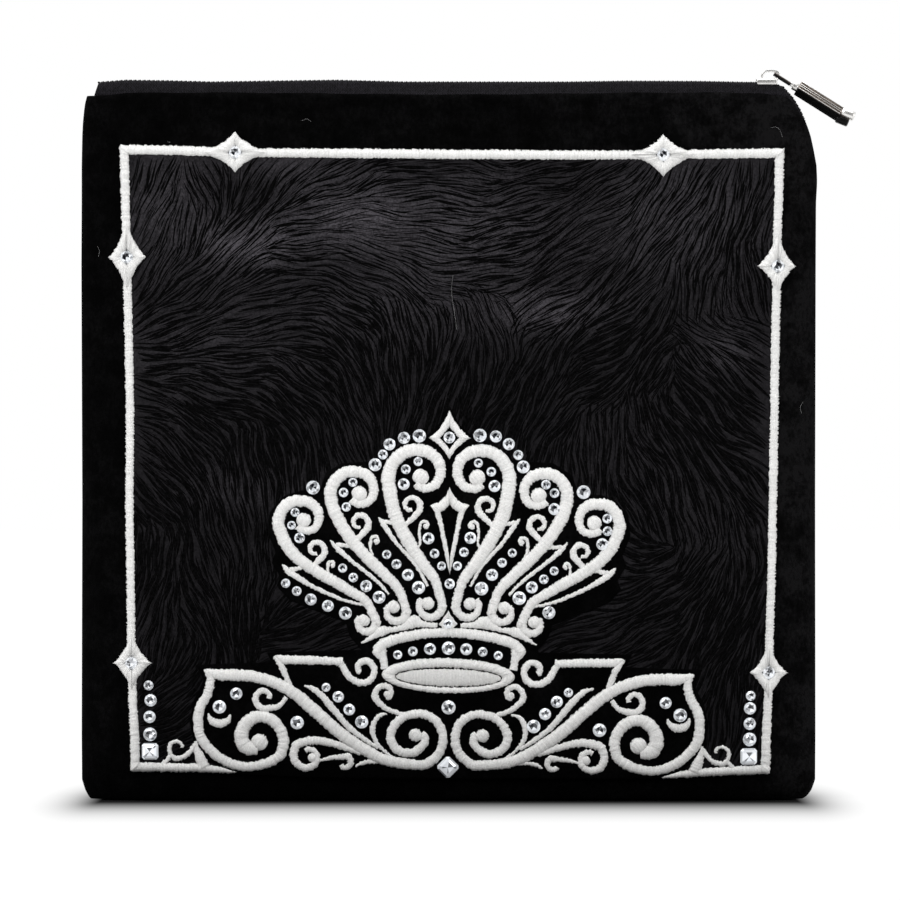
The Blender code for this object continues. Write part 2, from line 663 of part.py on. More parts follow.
def base_bracket(name, side):
    """The shelf beside the circlet, with its hook."""
    shelf = [(276.0, 655.6, 1.0), (283.0, 659.4, 4.4), (312.0, 660.0, 4.2), (343.0, 661.4, 4.0)]
    hook = [(339.5, 660.6, 2.8), (343.0, 666.4, 3.2), (349.0, 676.4, 3.4)]
    hook += turn(363.7, 669.3, (15.0, 9.9), -150.0, 20.0, (3.4, 3.3))[1:]
    hook += turn(363.7, 669.3, (9.6, 4.8), 50.0, 215.0, (3.2, 1.6))
    leg = [(274.2, 656.0, 1.4), (282.0, 666.0, 3.4), (286.4, 676.6, 2.6)]
    return combine(stroke(name, shelf, side, straight=True),
                   [stroke(name + "_hook", hook, side, STITCH_LOW + 0.04, 1.0),
                    stroke(name + "_leg", leg, side, STITCH_LOW + 0.06, 0.9, straight=True)])


def crescent(name, side):
    """The small moon that holds a stone inside the shell."""
    line = [(208.6, 713.0, 1.0), (210.8, 719.6, 3.0), (219.0, 723.6, 4.4), (227.4, 720.4, 3.2),
            (230.8, 714.4, 1.0)]
    return stroke(name, line, side, STITCH_LOW, 0.9)


# The stitched frame

FRAME_STARS = (
    # name, centre, up, down, left, right
    ("top_left", (234.7, 151.8), 21.0, 20.6, 34.0, 33.0),
    ("top_right", (663.9, 154.2), 20.6, 22.5, 34.0, 34.0),
    ("side_left", (126.2, 256.8), 36.0, 34.0, 18.6, 20.1),
    ("side_right", (778.2, 265.8), 34.0, 28.0, 21.1, 18.1),
    ("foot_left", (131.5, 663.0), 30.0, 28.0, 18.5, 20.5),
    ("foot_right", (768.8, 672.8), 30.0, 28.0, 19.4, 19.2),
)
FRAME_LINES = (
    # runs of the band between the stars, as column, row and half width
    ((126.0, 245.0, 4.4), (124.6, 185.0, 4.6), (123.6, 149.2, 4.9), (172.0, 149.8, 4.9),
     (222.0, 151.6, 4.4)),
    ((247.0, 152.2, 4.4), (330.0, 152.8, 4.8), (450.0, 153.8, 4.8), (560.0, 154.6, 4.8),
     (652.0, 154.4, 4.4)),
    ((676.0, 154.0, 4.4), (720.0, 153.4, 4.9), (774.0, 152.7, 4.9), (780.0, 152.6, 4.9), (779.4, 190.0, 4.6),
     (777.0, 252.0, 4.4)),
    ((126.8, 270.0, 4.4), (128.2, 330.0, 4.4), (129.8, 410.0, 4.3), (129.4, 500.0, 4.3),
     (130.8, 580.0, 4.3), (131.4, 650.0, 4.4)),
    ((777.0, 280.0, 4.4), (775.6, 340.0, 4.4), (774.6, 410.0, 4.3), (772.8, 500.0, 4.3),
     (771.2, 580.0, 4.3), (768.8, 660.0, 4.4)),
    ((131.8, 676.0, 4.4), (133.0, 705.0, 4.4), (134.8, 740.0, 4.8), (135.2, 767.0, 4.9),
     (160.0, 767.2, 4.7), (196.0, 767.8, 3.6), (214.0, 769.2, 1.4)),
    ((768.8, 686.0, 4.4), (767.6, 710.0, 4.4), (766.2, 740.0, 4.8), (765.6, 769.6, 4.9),
     (738.0, 770.6, 4.7), (702.0, 772.6, 3.6), (684.0, 774.6, 1.4)),
)


def frame_border():
    """White band with six stars, a stone in each, and the corner curls."""
    name = "frame_border"
    pieces = [stroke(name if k == 0 else f"{name}_{k}", line, low=GAP, rise=FRAME_RISE, straight=True)
              for k, line in enumerate(FRAME_LINES)]
    for label, centre, up, down, left, right in FRAME_STARS:
        slender = (0.40, 0.27) if up > left else (0.27, 0.40)
        ring = star(f"{name}_{label}", centre, up, down, left, right, (7.0, 7.0),
                    low=STITCH_LOW + 0.3, rise=0.9, waist=slender)
        pieces += [ring, stone(f"{name}_{label}_stone", *centre, 6.3, low=STITCH_LOW + 0.12)]
    for side in (-1, 1):
        curl = turn(177.6, 748.0, (5.4, 10.4), 20.0, 265.0, (1.6, 2.4))
        curl += [(186.0, 755.6, 2.2), (192.4, 748.6, 2.4), (195.8, 741.6, 1.2)]
        spike = [(195.9, 741.0, 1.0), (198.6, 752.0, 3.0), (202.6, 762.4, 3.4), (204.0, 768.0, 2.0)]
        root = [(170.4, 756.0, 1.8), (163.0, 765.0, 2.6)]
        pieces += [stroke(f"{name}_curl_{side}", curl, side, STITCH_LOW, 0.8),
                   stroke(f"{name}_spike_{side}", spike, side, STITCH_LOW + 0.04, 0.8),
                   stroke(f"{name}_root_{side}", root, side, STITCH_LOW + 0.06, 0.7, straight=True)]
    return combine(pieces[0], pieces[1:], flat=0.8)


# Grounds of the panel and the crown

FIGURED_OUTLINE = (
    # inner edge of the frame, as column and row
    (129.8, 155.6), (330.0, 158.8), (450.0, 159.8), (560.0, 160.6), (773.8, 158.8),
    (770.2, 330.0), (768.6, 420.0), (765.2, 580.0), (762.8, 670.0), (760.0, 764.4),
    (620.0, 764.4), (280.0, 761.4), (141.2, 761.4), (138.4, 700.0), (136.6, 580.0),
    (135.4, 410.0), (133.6, 330.0), (130.4, 200.0),
)
MOTIF_OUTLINE = (
    # left half, from the axis outwards and down
    (449.0, 405.0), (439.0, 424.0), (424.0, 438.0), (404.0, 442.0), (388.0, 455.0), (378.0, 470.0),
    (366.0, 463.0), (345.0, 461.0), (326.0, 473.0), (319.0, 494.0), (303.0, 490.0), (284.0, 496.0),
    (270.0, 512.0), (268.0, 532.0), (276.0, 552.0), (272.0, 562.0), (281.0, 577.0), (277.0, 586.0),
    (290.0, 600.0), (312.0, 609.0), (346.0, 622.0), (350.0, 636.0), (362.0, 650.0), (347.0, 652.0),
    (266.0, 650.0), (275.0, 668.0), (262.0, 667.0), (196.0, 664.0), (204.0, 680.0), (194.0, 700.0),
    (190.0, 722.0), (194.0, 744.0), (207.0, 759.0), (225.0, 770.4), (247.0, 775.6), (300.0, 776.6),
    (449.0, 780.0),
)


def figured_panel():
    panel = face_layer("figured_panel", INLAY_LOW, INLAY_HIGH, "figured")
    edge = prism("figured_edge", [chart(c, r) for c, r in FIGURED_OUTLINE])
    window = prism("motif_window", motif_outline(GAP * 1.3))
    panel = combine(panel, [edge], "INTERSECT", flat=0.5)
    return combine(panel, [window], "DIFFERENCE", flat=0.5)


def motif_outline(margin=0.0):
    """Both halves of the ground under the crown, grown by a margin in millimetres."""
    left = [chart(c, r) for c, r in MOTIF_OUTLINE]
    right = [chart(c, r, 1) for c, r in MOTIF_OUTLINE[-2:0:-1]]
    line = [Vector(p) for p in left + right]
    grown = []
    for before, here, after in zip(line[-1:] + line[:-1], line, line[1:] + line[:1]):
        along = ((here - before).normalized() + (after - here).normalized()).normalized()
        stretch = 1.0 / max(0.5, along.dot((after - here).normalized()))
        grown.append(here + Vector((-along.y, along.x)) * -margin * stretch)
    return [(p.x, p.y) for p in grown]


SMALL_STONES = (
    # left half: column, row, radius
    (403.8, 484.2, 5.6), (405.9, 469.3, 4.6), (418.2, 461.6, 4.3),
    (346.4, 506.9, 4.4), (343.7, 492.5, 4.5), (353.0, 482.3, 4.3),
    (299.8, 537.8, 5.0), (291.8, 525.2, 4.1), (295.3, 512.2, 4.2),
    (428.5, 538.3, 5.6), (434.6, 553.4, 4.5), (441.6, 565.8, 4.2),
    (386.8, 554.3, 4.3), (396.5, 563.9, 4.7), (408.0, 574.7, 5.6), (418.6, 587.4, 6.2),
    (342.8, 567.9, 4.3), (353.4, 577.3, 4.5), (366.3, 585.8, 5.6), (379.2, 597.0, 6.0),
    (397.8, 654.4, 4.3), (412.9, 651.1, 4.6), (430.0, 648.6, 5.6),
    (236.5, 693.3, 5.8), (219.7, 706.6, 6.4), (297.3, 722.3, 6.4),
    (326.2, 687.0, 4.2), (338.4, 696.4, 5.4), (349.4, 709.2, 5.5), (361.8, 721.6, 6.2),
)
MIDDLE_STONES = ((449.4, 437.6, 5.6), (449.7, 583.6, 5.0), (448.5, 647.8, 6.4), (448.6, 707.0, 6.8))
MAIN_STONES = (
    # left half: column, row, radius, right column, right row
    ("outer_1", 313.2, 487.6, 6.4, 583.4, 492.2),
    ("outer_2", 375.2, 464.8, 6.0, 523.2, 467.0),
    ("outer_3", 383.0, 454.6, 4.6, 518.2, 455.1),
    ("outer_4", 389.6, 444.4, 5.6, 508.8, 444.2),
    ("outer_5", 404.0, 438.0, 5.6, 495.9, 436.6),
    ("outer_6", 419.4, 436.0, 6.2, 480.0, 435.6),
    ("corner_1", 148.8, 685.3, 4.6, 750.5, 695.8),
    ("corner_2", 150.9, 700.2, 5.8, 749.8, 708.3),
    ("corner_3", 149.8, 716.8, 5.8, 749.5, 723.7),
    ("corner_4", 150.2, 734.2, 6.4, 749.4, 739.4),
)
SQUARE_STONES = (("corner_5_left", 150.2, 751.4, 6.2, 0.0), ("corner_5_right", 748.6, 756.6, 6.2, 0.0),
                 ("foot", 447.9, 766.8, 8.0, 45.0))
BELOW_STONES = (("below_1", 285.9, 583.0, 4.3), ("below_2", 297.0, 590.8, 4.5),
                ("below_3", 311.0, 599.2, 5.5), ("below_4", 328.1, 605.6, 5.5),
                ("below_5", 345.6, 612.8, 6.0))


def motif_ground():
    """Plain velvet under the crown, with its small stones fused to it."""
    ground = face_layer("motif_ground", INLAY_LOW, INLAY_HIGH, "velvet")
    ground = combine(ground, [prism("motif_edge", motif_outline())], "INTERSECT", flat=0.5)
    stones = []
    for column, row, radius in SMALL_STONES:
        for side in (-1, 1):
            stones.append(stone("set", column, row, radius, side, INLAY_HIGH - 0.25, sides=7))
    for column, row, radius in MIDDLE_STONES:
        stones.append(stone("set", column, row, radius, -1, INLAY_HIGH - 0.25, sides=7))
    return combine(ground, stones, flat=0.5)


def main_stones():
    for name, column, row, radius, right_column, right_row in MAIN_STONES:
        stone(f"stone_{name}_left", column, row, radius, low=STITCH_LOW)
        stone(f"stone_{name}_right", right_column, right_row, radius, low=STITCH_LOW)
    for name, column, row, radius in BELOW_STONES:
        stone(f"stone_{name}_left", column, row, radius, low=STITCH_LOW)
    stone("stone_below_5_right", 548.8, 614.4, 6.0, low=STITCH_LOW)
    for name, column, row, half, tilt in SQUARE_STONES:
        stone(f"stone_{name}", column, row, half * 1.32, square=True, turned=radians(tilt))


# Zip

CHAIN_ROUTE = (
    # x, z along the middle of the coils; the right end bends down the shoulder
    (-118.2, 240.9), (-60.0, 241.3), (0.0, 241.1), (60.0, 241.2),
    (108.5, 241.0), (112.5, 239.3), (115.5, 235.8), (117.7, 231.7), (119.6, 227.4),
)


def zip_chain():
    """Closed coils of the zip as one ribbon with chamfered sides."""
    section = ((-1.0, -0.5), (-1.0, 0.5), (-0.6, 1.0), (0.6, 1.0), (1.0, 0.5), (1.0, -0.5),
               (0.6, -1.0), (-0.6, -1.0))
    points = []
    for k, (x, z) in enumerate(CHAIN_ROUTE):
        before = Vector(CHAIN_ROUTE[max(0, k - 1)])
        after = Vector(CHAIN_ROUTE[min(len(CHAIN_ROUTE) - 1, k + 1)])
        along = (after - before).normalized()
        out = Vector((-along.y, along.x))
        slim = 1.0 if x < 112.0 else 0.62
        for y, lift in section:
            points.append((x + out.x * lift * CHAIN_HALF_THICK, y * CHAIN_HALF_WIDTH * slim,
                           z + out.y * lift * CHAIN_HALF_THICK))
    sides = len(section)
    faces = [tuple(range(sides)), tuple(range(len(points) - 1, len(points) - 1 - sides, -1))]
    for ring in range(len(CHAIN_ROUTE) - 1):
        for k in range(sides):
            n = (k + 1) % sides
            faces.append((ring * sides + k, ring * sides + n, (ring + 1) * sides + n,
                          (ring + 1) * sides + k))
    return solid("zip_chain", points, faces, "coil")


def zip_tape(name, towards):
    """One side's tape: it leaves the coils, turns over the edge and goes down inside."""
    inner_edge = 0.8
    under_chain = CHAIN_Z - CHAIN_HALF_THICK - GAP - 0.65 * TAPE_THICK
    points = []
    xs = [lerp(-117.6, 107.8, k / 10.0) for k in range(11)]
    for x in xs:
        inside = max(1.6, depth(x, TOP) - CLOTH - GAP - 0.75 * TAPE_THICK)
        low_inside = max(1.6, depth(x, 226.0) - CLOTH - GAP - 0.9 * TAPE_THICK - 0.3)
        middle = [(inner_edge, under_chain), (min(2.5, inside), under_chain - 0.1),
                  (inside, TOP - 0.3), (low_inside, 226.0)]
        outer, inner = [], []
        for k, (y, z) in enumerate(middle):
            a = Vector(middle[max(0, k - 1)])
            b = Vector(middle[min(3, k + 1)])
            along = (b - a).normalized()
            normal = Vector((along.y, -along.x))
            reach = 0.5 * TAPE_THICK
            outer.append((y - normal.x * reach, z - normal.y * reach))
            inner.append((y + normal.x * reach, z + normal.y * reach))
        points += [(x, towards * y, z) for y, z in outer + inner[::-1]]
    ring = 8
    faces = [tuple(range(ring)), tuple(range(len(points) - 1, len(points) - 1 - ring, -1))]
    for r in range(len(xs) - 1):
        for k in range(ring):
            n = (k + 1) % ring
            faces.append((r * ring + k, r * ring + n, (r + 1) * ring + n, (r + 1) * ring + k))
    return solid(name, points, faces, "tape")


def box(name, low, high, finish="nickel", bevel=0.0):
    corners = [(x, y, z) for x in (low[0], high[0]) for y in (low[1], high[1])
               for z in (low[2], high[2])]
    faces = [(0, 1, 3, 2), (4, 6, 7, 5), (0, 4, 5, 1), (2, 3, 7, 6), (0, 2, 6, 4), (1, 5, 7, 3)]
    made = solid(name, corners, faces, finish, rounded=False)
    if bevel:
        work = bmesh.new()
        work.from_mesh(made.data)
        bmesh.ops.dissolve_limit(work, angle_limit=radians(5.0), verts=work.verts, edges=work.edges)
        bmesh.ops.bevel(work, geom=work.edges[:], offset=bevel * MM, segments=1, affect="EDGES")
        work.to_mesh(made.data)
        work.free()
    return made


def slider():
    """Plate over the coils with turned-down sides, and the bridge that the pull hangs on."""
    side_inner, side_outer = CHAIN_HALF_WIDTH + GAP, CHAIN_HALF_WIDTH + GAP + 0.9
    plate_low = CHAIN_Z + CHAIN_HALF_THICK + 0.3
    plate_high = plate_low + 0.65
    plate = box("slider", (102.8, -side_outer, plate_low), (110.7, side_outer, plate_high), bevel=0.2)
    pieces = []
    for towards in (-1, 1):
        low, high = sorted((towards * side_inner, towards * side_outer))
        pieces.append(box("slider_side", (103.1, low, CHAIN_Z - 0.7), (110.4, high, plate_low + 0.3)))
    arch_low = plate_high - 0.2
    bridge_low, bridge_high = PIN_Z + 0.8, PIN_Z + 1.5
    pieces.append(box("slider_heel", (104.9, -1.1, arch_low), (106.0, 1.1, bridge_low + 0.3)))
    pieces.append(box("slider_bridge", (104.9, -1.1, bridge_low), (111.6, 1.1, bridge_high),
                      bevel=0.2))
    pieces.append(box("slider_toe", (111.2, -1.1, PIN_Z + 0.2), (111.6, 1.1, bridge_low + 0.2)))
    return combine(plate, pieces)


def cylinder(name, start, end, radius, sides=10, finish="nickel", end_radius=None):
    start, end = Vector(start), Vector(end)
    along = (end - start).normalized()
    across = along.orthogonal().normalized()
    third = along.cross(across)
    points = []
    for place, reach in ((start, radius), (end, radius if end_radius is None else end_radius)):
        points += [place + (across * cos(2 * pi * k / sides) + third * sin(2 * pi * k / sides)) * reach
                   for k in range(sides)]
    faces = [tuple(range(sides)), tuple(range(2 * sides - 1, sides - 1, -1))]
    faces += [(k, (k + 1) % sides, sides + (k + 1) % sides, sides + k) for k in range(sides)]
    return solid(name, points, faces, finish)


def pull():
    """Pull on its pin: two arms, collar, ribbed bar turned on its edge, flared end with prongs."""
    arm_y, arm_half = 1.95, 0.5
    made = cylinder("pull", (0.0, -arm_y - arm_half, 0.0), (0.0, arm_y + arm_half, 0.0), 0.5)
    pieces = []
    for towards in (-1, 1):
        low, high = sorted((towards * (arm_y - arm_half), towards * (arm_y + arm_half)))
        pieces.append(box("pull_arm", (-0.6, low, -0.44), (6.8, high, 0.44), bevel=0.15))
    pieces.append(box("pull_yoke", (6.0, -2.5, -0.6), (7.4, 2.5, 0.6), bevel=0.2))
    pieces.append(cylinder("pull_collar", (7.0, 0.0, 0.0), (10.0, 0.0, 0.0), 1.3))
    bar = box("pull_bar", (9.4, -2.1, -1.7), (26.0, 2.1, 1.7), bevel=0.35)
    for across in (-0.75, 0.75):
        groove = box("pull_groove", (10.6, across - 0.25, 1.35), (25.0, across + 0.25, 2.4))
        bar = combine(bar, [groove], "DIFFERENCE")
    bar.data.transform(Matrix.Rotation(radians(45.0), 4, "X"))
    pieces.append(bar)
    pieces.append(cylinder("pull_neck", (25.6, 0.0, 0.0), (28.6, 0.0, 0.0), 1.2, end_radius=2.3))
    for towards in (-1, 1):
        pieces.append(cylinder("pull_prong", (28.2, towards * 0.9, 0.0), (32.4, towards * 1.7, 0.0),
                               0.9, end_radius=0.55, sides=8))
    made = combine(made, pieces)
    made.location = Vector((PIN_X, 0.0, PIN_Z)) * MM
    made.rotation_euler = (0.0, -PULL_REST, 0.0)
    made.data.shade_smooth()
    made.data.set_sharp_from_angle(angle=radians(35.0))
    return made


def main():
    for old in list(bpy.data.objects):
        bpy.data.objects.remove(old)
    front_panel()
    back_panel()
    figured_panel()
    motif_ground()
    frame_border()
    for number in PLUMES:
        plume(f"plume_left_{number}", number, -1)
        plume(f"plume_right_{number}", number, 1)
    crown_finial()
    crown_lozenge()
    crown_band()
    crown_scallop("crown_scallop_left", -1)
    crown_scallop("crown_scallop_right", 1)
    crown_ring()
    ring_fill()
    for side, label in ((-1, "left"), (1, "right")):
        base_scroll(f"base_scroll_{label}", side)
        base_leaf(f"base_leaf_{label}", side)
        base_bracket(f"base_bracket_{label}", side)
        crescent(f"base_crescent_{label}", side)
    main_stones()
    zip_chain()
    zip_tape("zip_tape_front", -1)
    zip_tape("zip_tape_back", 1)
    slider()
    pull()


main()
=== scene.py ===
"""Looks of the zip-top velvet bag: cloth, figured panel, satin stitching, cut stones, zip and pull.

Shapes are worked out in millimetres and made in metres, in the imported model's own frame: the bag
stands on z = 0 with its front towards -Y.
"""
import bmesh
import bpy
import random
from contextlib import contextmanager
from math import atan2, ceil, cos, exp, hypot, pi, radians, sin, sqrt
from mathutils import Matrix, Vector


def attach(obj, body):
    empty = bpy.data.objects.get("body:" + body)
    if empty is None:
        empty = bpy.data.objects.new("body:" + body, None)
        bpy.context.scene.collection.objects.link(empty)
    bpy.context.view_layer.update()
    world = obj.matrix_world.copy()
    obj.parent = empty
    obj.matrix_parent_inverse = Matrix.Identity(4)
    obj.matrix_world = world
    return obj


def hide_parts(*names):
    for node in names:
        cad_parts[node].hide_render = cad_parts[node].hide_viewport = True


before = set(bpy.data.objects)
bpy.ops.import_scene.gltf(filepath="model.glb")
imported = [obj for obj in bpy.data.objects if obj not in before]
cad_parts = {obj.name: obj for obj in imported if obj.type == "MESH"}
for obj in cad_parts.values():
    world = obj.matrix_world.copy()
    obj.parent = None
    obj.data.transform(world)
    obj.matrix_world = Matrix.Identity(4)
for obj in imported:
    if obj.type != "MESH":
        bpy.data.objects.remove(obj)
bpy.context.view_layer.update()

MM = 0.001

# Bag, in millimetres.
TOP = 237.7            # upper edge of the velvet
BELLY = 17.0           # half depth at the fullest height
BELLY_HEIGHT = 78.0
MOUTH = 6.4            # half depth at the upper edge
FOOT = 11.0            # half depth of the strip the bag stands on
FOOT_ROUND = 13.0      # height of the rounding above the strip
CLOTH = 1.2            # velvet wall
GAP = 0.3              # clearance between the two panels

# Lifts above the front velvet.
FIGURED_TOP = 0.9      # satin of the figured panel
PLAIN_TOP = 1.25       # plain velvet under the crown
STITCH_LOW = 1.1       # where the stitching starts, sunk into its ground
STONE_LOW = 1.0        # where the stones on the figured panel are glued

# Embroidery chart: columns run from the left, rows from the top.
GRID = 0.336
AXIS_COLUMN = 449.0
FOOT_ROW = 800.0
RIGHT_DROP = 0.021     # the right half is sewn this much lower for each column out

# Slider and pull.
SLIDER_LEFT = 103.6
SLIDER_RIGHT = 111.0
SLIDER_HALF = 3.95     # half its width across the zip
PIN = (110.2, 244.2)   # where the pull hangs on the slider
HANG = radians(32.2)   # how far its axis points down at rest

# Sewing.
THREAD = 0.5           # pitch of the satin stitch
ACROSS = (-1.0, -0.84, -0.46, 0.0, 0.46, 0.84, 1.0)
FRAY = 0.38            # how far single stitches overshoot the edge
DISC_LEAN = 0.6        # slant of the stitches that fill a scroll's round end

# Camera, in metres: three metres off, level and square to the front, with a long lens.
CAMERA_AWAY = 3.0
CAMERA_AIM = (0.000336, -0.014, 0.1176)
FIELD_WIDTH = 0.3024
SENSOR = 36.0

# Sides of the bag by height: the right shoulder slants in under the slider.
SIDES = (
    # height, left, right
    (0.0, -120.9, 119.4),
    (1.0, -121.8, 121.0),
    (3.2, -122.9, 122.5),
    (6.5, -123.9, 123.6),
    (22.0, -124.0, 123.7),
    (100.0, -123.8, 123.6),
    (180.0, -124.1, 123.8),
    (201.0, -124.0, 123.9),
    (208.0, -124.0, 124.3),
    (213.5, -124.0, 124.1),
    (219.0, -123.9, 123.1),
    (224.0, -123.8, 122.0),
    (228.0, -123.6, 120.6),
    (232.5, -123.2, 118.7),
    (235.4, -122.8, 117.0),
    (TOP, -122.2, 115.0),
)

GLOWS = (
    # patches of painted sheen on the satin: chart place, reach across and up, strength
    (248.0, 243.0, 42.0, 24.0, 0.95), (350.0, 214.0, 66.0, 34.0, 0.70),
    (465.0, 232.0, 80.0, 62.0, 0.48), (552.0, 310.0, 54.0, 20.0, 0.62),
    (300.0, 165.0, 70.0, 16.0, 0.30), (680.0, 215.0, 88.0, 66.0, 0.38),
    (165.0, 200.0, 46.0, 56.0, 0.36), (728.0, 350.0, 34.0, 22.0, 0.30),
    (243.0, 490.0, 52.0, 20.0, 0.16), (385.0, 300.0, 85.0, 42.0, 0.20),
    (210.0, 350.0, 110.0, 65.0, 0.17), (690.0, 480.0, 110.0, 120.0, 0.06),
)


def lerp(a, b, t):
    return a + (b - a) * t


def between(rows, x, column):
    """Value of one column of a table at x, with the rows sorted by their first column."""
    if x <= rows[0][0]:
        return rows[0][column]
    for low, high in zip(rows, rows[1:]):
        if x <= high[0]:
            t = (x - low[0]) / (high[0] - low[0])
            return lerp(low[column], high[column], t)
    return rows[-1][column]


def smooth(t):
    t = min(1.0, max(0.0, t))
    return t * t * (3.0 - 2.0 * t)


def middle_depth(z):
    """Half depth of the bag on its middle line."""
    if z < BELLY_HEIGHT:
        return lerp(FOOT + 2.2, BELLY, sin(0.5 * pi * z / BELLY_HEIGHT))
    return lerp(BELLY, MOUTH, smooth((z - BELLY_HEIGHT) / (TOP - BELLY_HEIGHT)))


def depth(x, z):
    """Half depth at a place on the face: nil at the side seams, full in the middle."""
    left, right = between(SIDES, z, 1), between(SIDES, z, 2)
    across = (2.0 * x - left - right) / (right - left)
    squareness = lerp(5.0, 30.0, smooth((z - 150.0) / (TOP - 150.0)))
    profile = sqrt(max(0.0, 1.0 - min(1.0, abs(across)) ** squareness))
    full = middle_depth(z) * profile
    if z >= FOOT_ROUND:
        return full
    foot = FOOT * sqrt(max(0.0, 1.0 - min(1.0, abs(across)) ** 5.0))
    return lerp(foot, max(foot, full), sqrt(1.0 - (1.0 - z / FOOT_ROUND) ** 2))


def chart(column, row, side=-1):
    """Place on the face of a chart point of the left half, or of its mirror image."""
    out = column - AXIS_COLUMN
    up = FOOT_ROW - row
    if side > 0:
        up -= RIGHT_DROP * abs(out)
        out = -out
    return out * GRID, up * GRID


def ripple(x, z):
    """Slight waves of the filled cloth, nil at the side seams and at the foot."""
    left, right = between(SIDES, z, 1), between(SIDES, z, 2)
    inside = smooth(min(x - left, right - x) / 22.0) * smooth(z / 30.0)
    waves = 0.32 * sin(0.047 * x + 1.3) * sin(0.041 * z + 0.4)
    waves += 0.16 * sin(0.113 * x + 0.071 * z + 2.1) + 0.10 * sin(0.19 * x - 0.15 * z)
    return inside * waves


def light_at(column, row):
    """How much the painted sheen lightens the satin at a chart place."""
    return 0.06 + sum(strength * exp(-((column - c) / wide) ** 2 - ((row - r) / tall) ** 2)
                      for c, r, wide, tall, strength in GLOWS)


def on_front(x, z, lift=0.0):
    return Vector((x, -(depth(x, z) + ripple(x, z) + GAP / 2 + lift), z))


# Shaders

def sum_of(operation, swapped=False):
    """A method that adds one Math node, with its own socket first or last."""
    def method(self, *others):
        values = (*others, self) if swapped else (self, *others)
        return self.finish.node("ShaderNodeMath", {"operation": operation}, dict(enumerate(values)))
    return method


class Level:
    """A socket that takes part in sums."""

    def __init__(self, finish, socket):
        self.finish = finish
        self.socket = socket

    __add__, __radd__ = sum_of("ADD"), sum_of("ADD", True)
    __sub__, __rsub__ = sum_of("SUBTRACT"), sum_of("SUBTRACT", True)
    __mul__, __rmul__ = sum_of("MULTIPLY"), sum_of("MULTIPLY", True)
    __truediv__, __pow__ = sum_of("DIVIDE"), sum_of("POWER")
    sine, size, at_least = sum_of("SINE"), sum_of("ABSOLUTE"), sum_of("MAXIMUM")
    exponential, whole = sum_of("EXPONENT"), sum_of("FLOOR")

    def held(self):
        """The same level kept between nought and one."""
        return self.finish.node("ShaderNodeClamp", {}, {0: self})

    def over(self, low, high):
        """A smooth step from 0 at low to 1 at high."""
        return self.finish.node("ShaderNodeMapRange", {"interpolation_type": "SMOOTHSTEP"},
                                {0: self, 1: low, 2: high})


class Finish:
    """One material, or the world where it is given, and its nodes."""

    def __init__(self, name, world=None):
        self.material = world or bpy.data.materials.new(name)
        self.material.use_nodes = True
        self.tree = self.material.node_tree
        self.tree.nodes.clear()

    def node(self, kind, settings=None, sockets=None, give=0):
        """A node with its settings, then its sockets' values or links; gives one output."""
        made = self.tree.nodes.new(kind)
        for key, value in (settings or {}).items():
            if key == "stops":
                ramp = made.color_ramp
                for place, (where, colour) in enumerate(value):
                    stop = ramp.elements[place] if place < 2 else ramp.elements.new(where)
                    stop.position = where
                    stop.color = colour
            else:
                setattr(made, key, value)
        for key, value in (sockets or {}).items():
            if isinstance(value, Level):
                self.tree.links.new(value.socket, made.inputs[key])
            else:
                made.inputs[key].default_value = value
        return Level(self, made.outputs[give]) if made.outputs else None

    def place(self):
        """Object coordinates, in metres."""
        return self.node("ShaderNodeTexCoord", give="Object")

    def axes(self, vector):
        return [self.node("ShaderNodeSeparateXYZ", {}, {0: vector}, give) for give in range(3)]

    def noise(self, vector, scale, detail=2.0, rough=0.5):
        return self.node("ShaderNodeTexNoise", {},
                         {"Vector": vector, "Scale": scale, "Detail": detail, "Roughness": rough})

    def stretched(self, vector, by):
        return self.node("ShaderNodeVectorMath", {"operation": "MULTIPLY"}, {0: vector, 1: by})

    def blended(self, share, one, other):
        """One colour passing into another."""
        return self.node("ShaderNodeMix", {"data_type": "RGBA"}, {0: share, 6: one, 7: other}, 2)

    def bump(self, height, distance, strength=1.0):
        return self.node("ShaderNodeBump", {},
                         {"Height": height, "Distance": distance, "Strength": strength})

    def surface(self, sockets):
        shader = self.node("ShaderNodeBsdfPrincipled", {}, sockets)
        self.node("ShaderNodeOutputMaterial", {}, {0: shader})
        return self.material


def grey(level, warm=0.0):
    return (level * (1.0 + warm), level, level * (1.0 - warm), 1.0)


def velvet_finish():
    """Deep black pile: clumps of tips, soft patches where it was brushed, a painted sheen on the right side
    and the upper right shoulder, and painted shade towards the foot.
    """
    f = Finish("black_velvet")
    place = f.place()
    brushed = f.noise(place, 24.0, 3.0, 0.55)
    clumps = f.noise(f.stretched(place, (1.0, 1.0, 0.7)), 820.0, 4.0, 0.7)
    tips = f.noise(place, 1500.0, 2.0)
    x, _, z = f.axes(place)
    # Lighter on the right side and the upper right shoulder: painted sheen.
    painted_sheen_right = x.over(0.082, 0.122) * 0.85 + z.over(0.195, 0.232) * x.over(0.04, 0.11) * 0.35
    patches = f.noise(f.stretched(place, (0.8, 1.0, 1.0)), 150.0, 4.0, 0.62)
    # Darker over the lowest seven centimetres: painted shade towards the foot.
    tone = (0.15 + painted_sheen_right + z.over(0.0, 0.07) * 0.16) * (0.45 + brushed.over(0.35, 0.72) * 0.7)
    tone = tone * (0.40 + clumps.over(0.32, 0.70) * 1.0) * (0.40 + patches.over(0.36, 0.64) * 1.0)
    colour = f.blended(tone.held(), grey(0.0004), (0.0066, 0.0064, 0.0068, 1.0))
    return f.surface({"Base Color": colour, "Roughness": 0.88 + tips * 0.10,
                      "Specular IOR Level": 0.012, "Sheen Weight": 0.002, "Sheen Roughness": 0.5,
                      "Normal": f.bump(tips * 0.4 + clumps * 0.6, 0.0006, 0.9)})


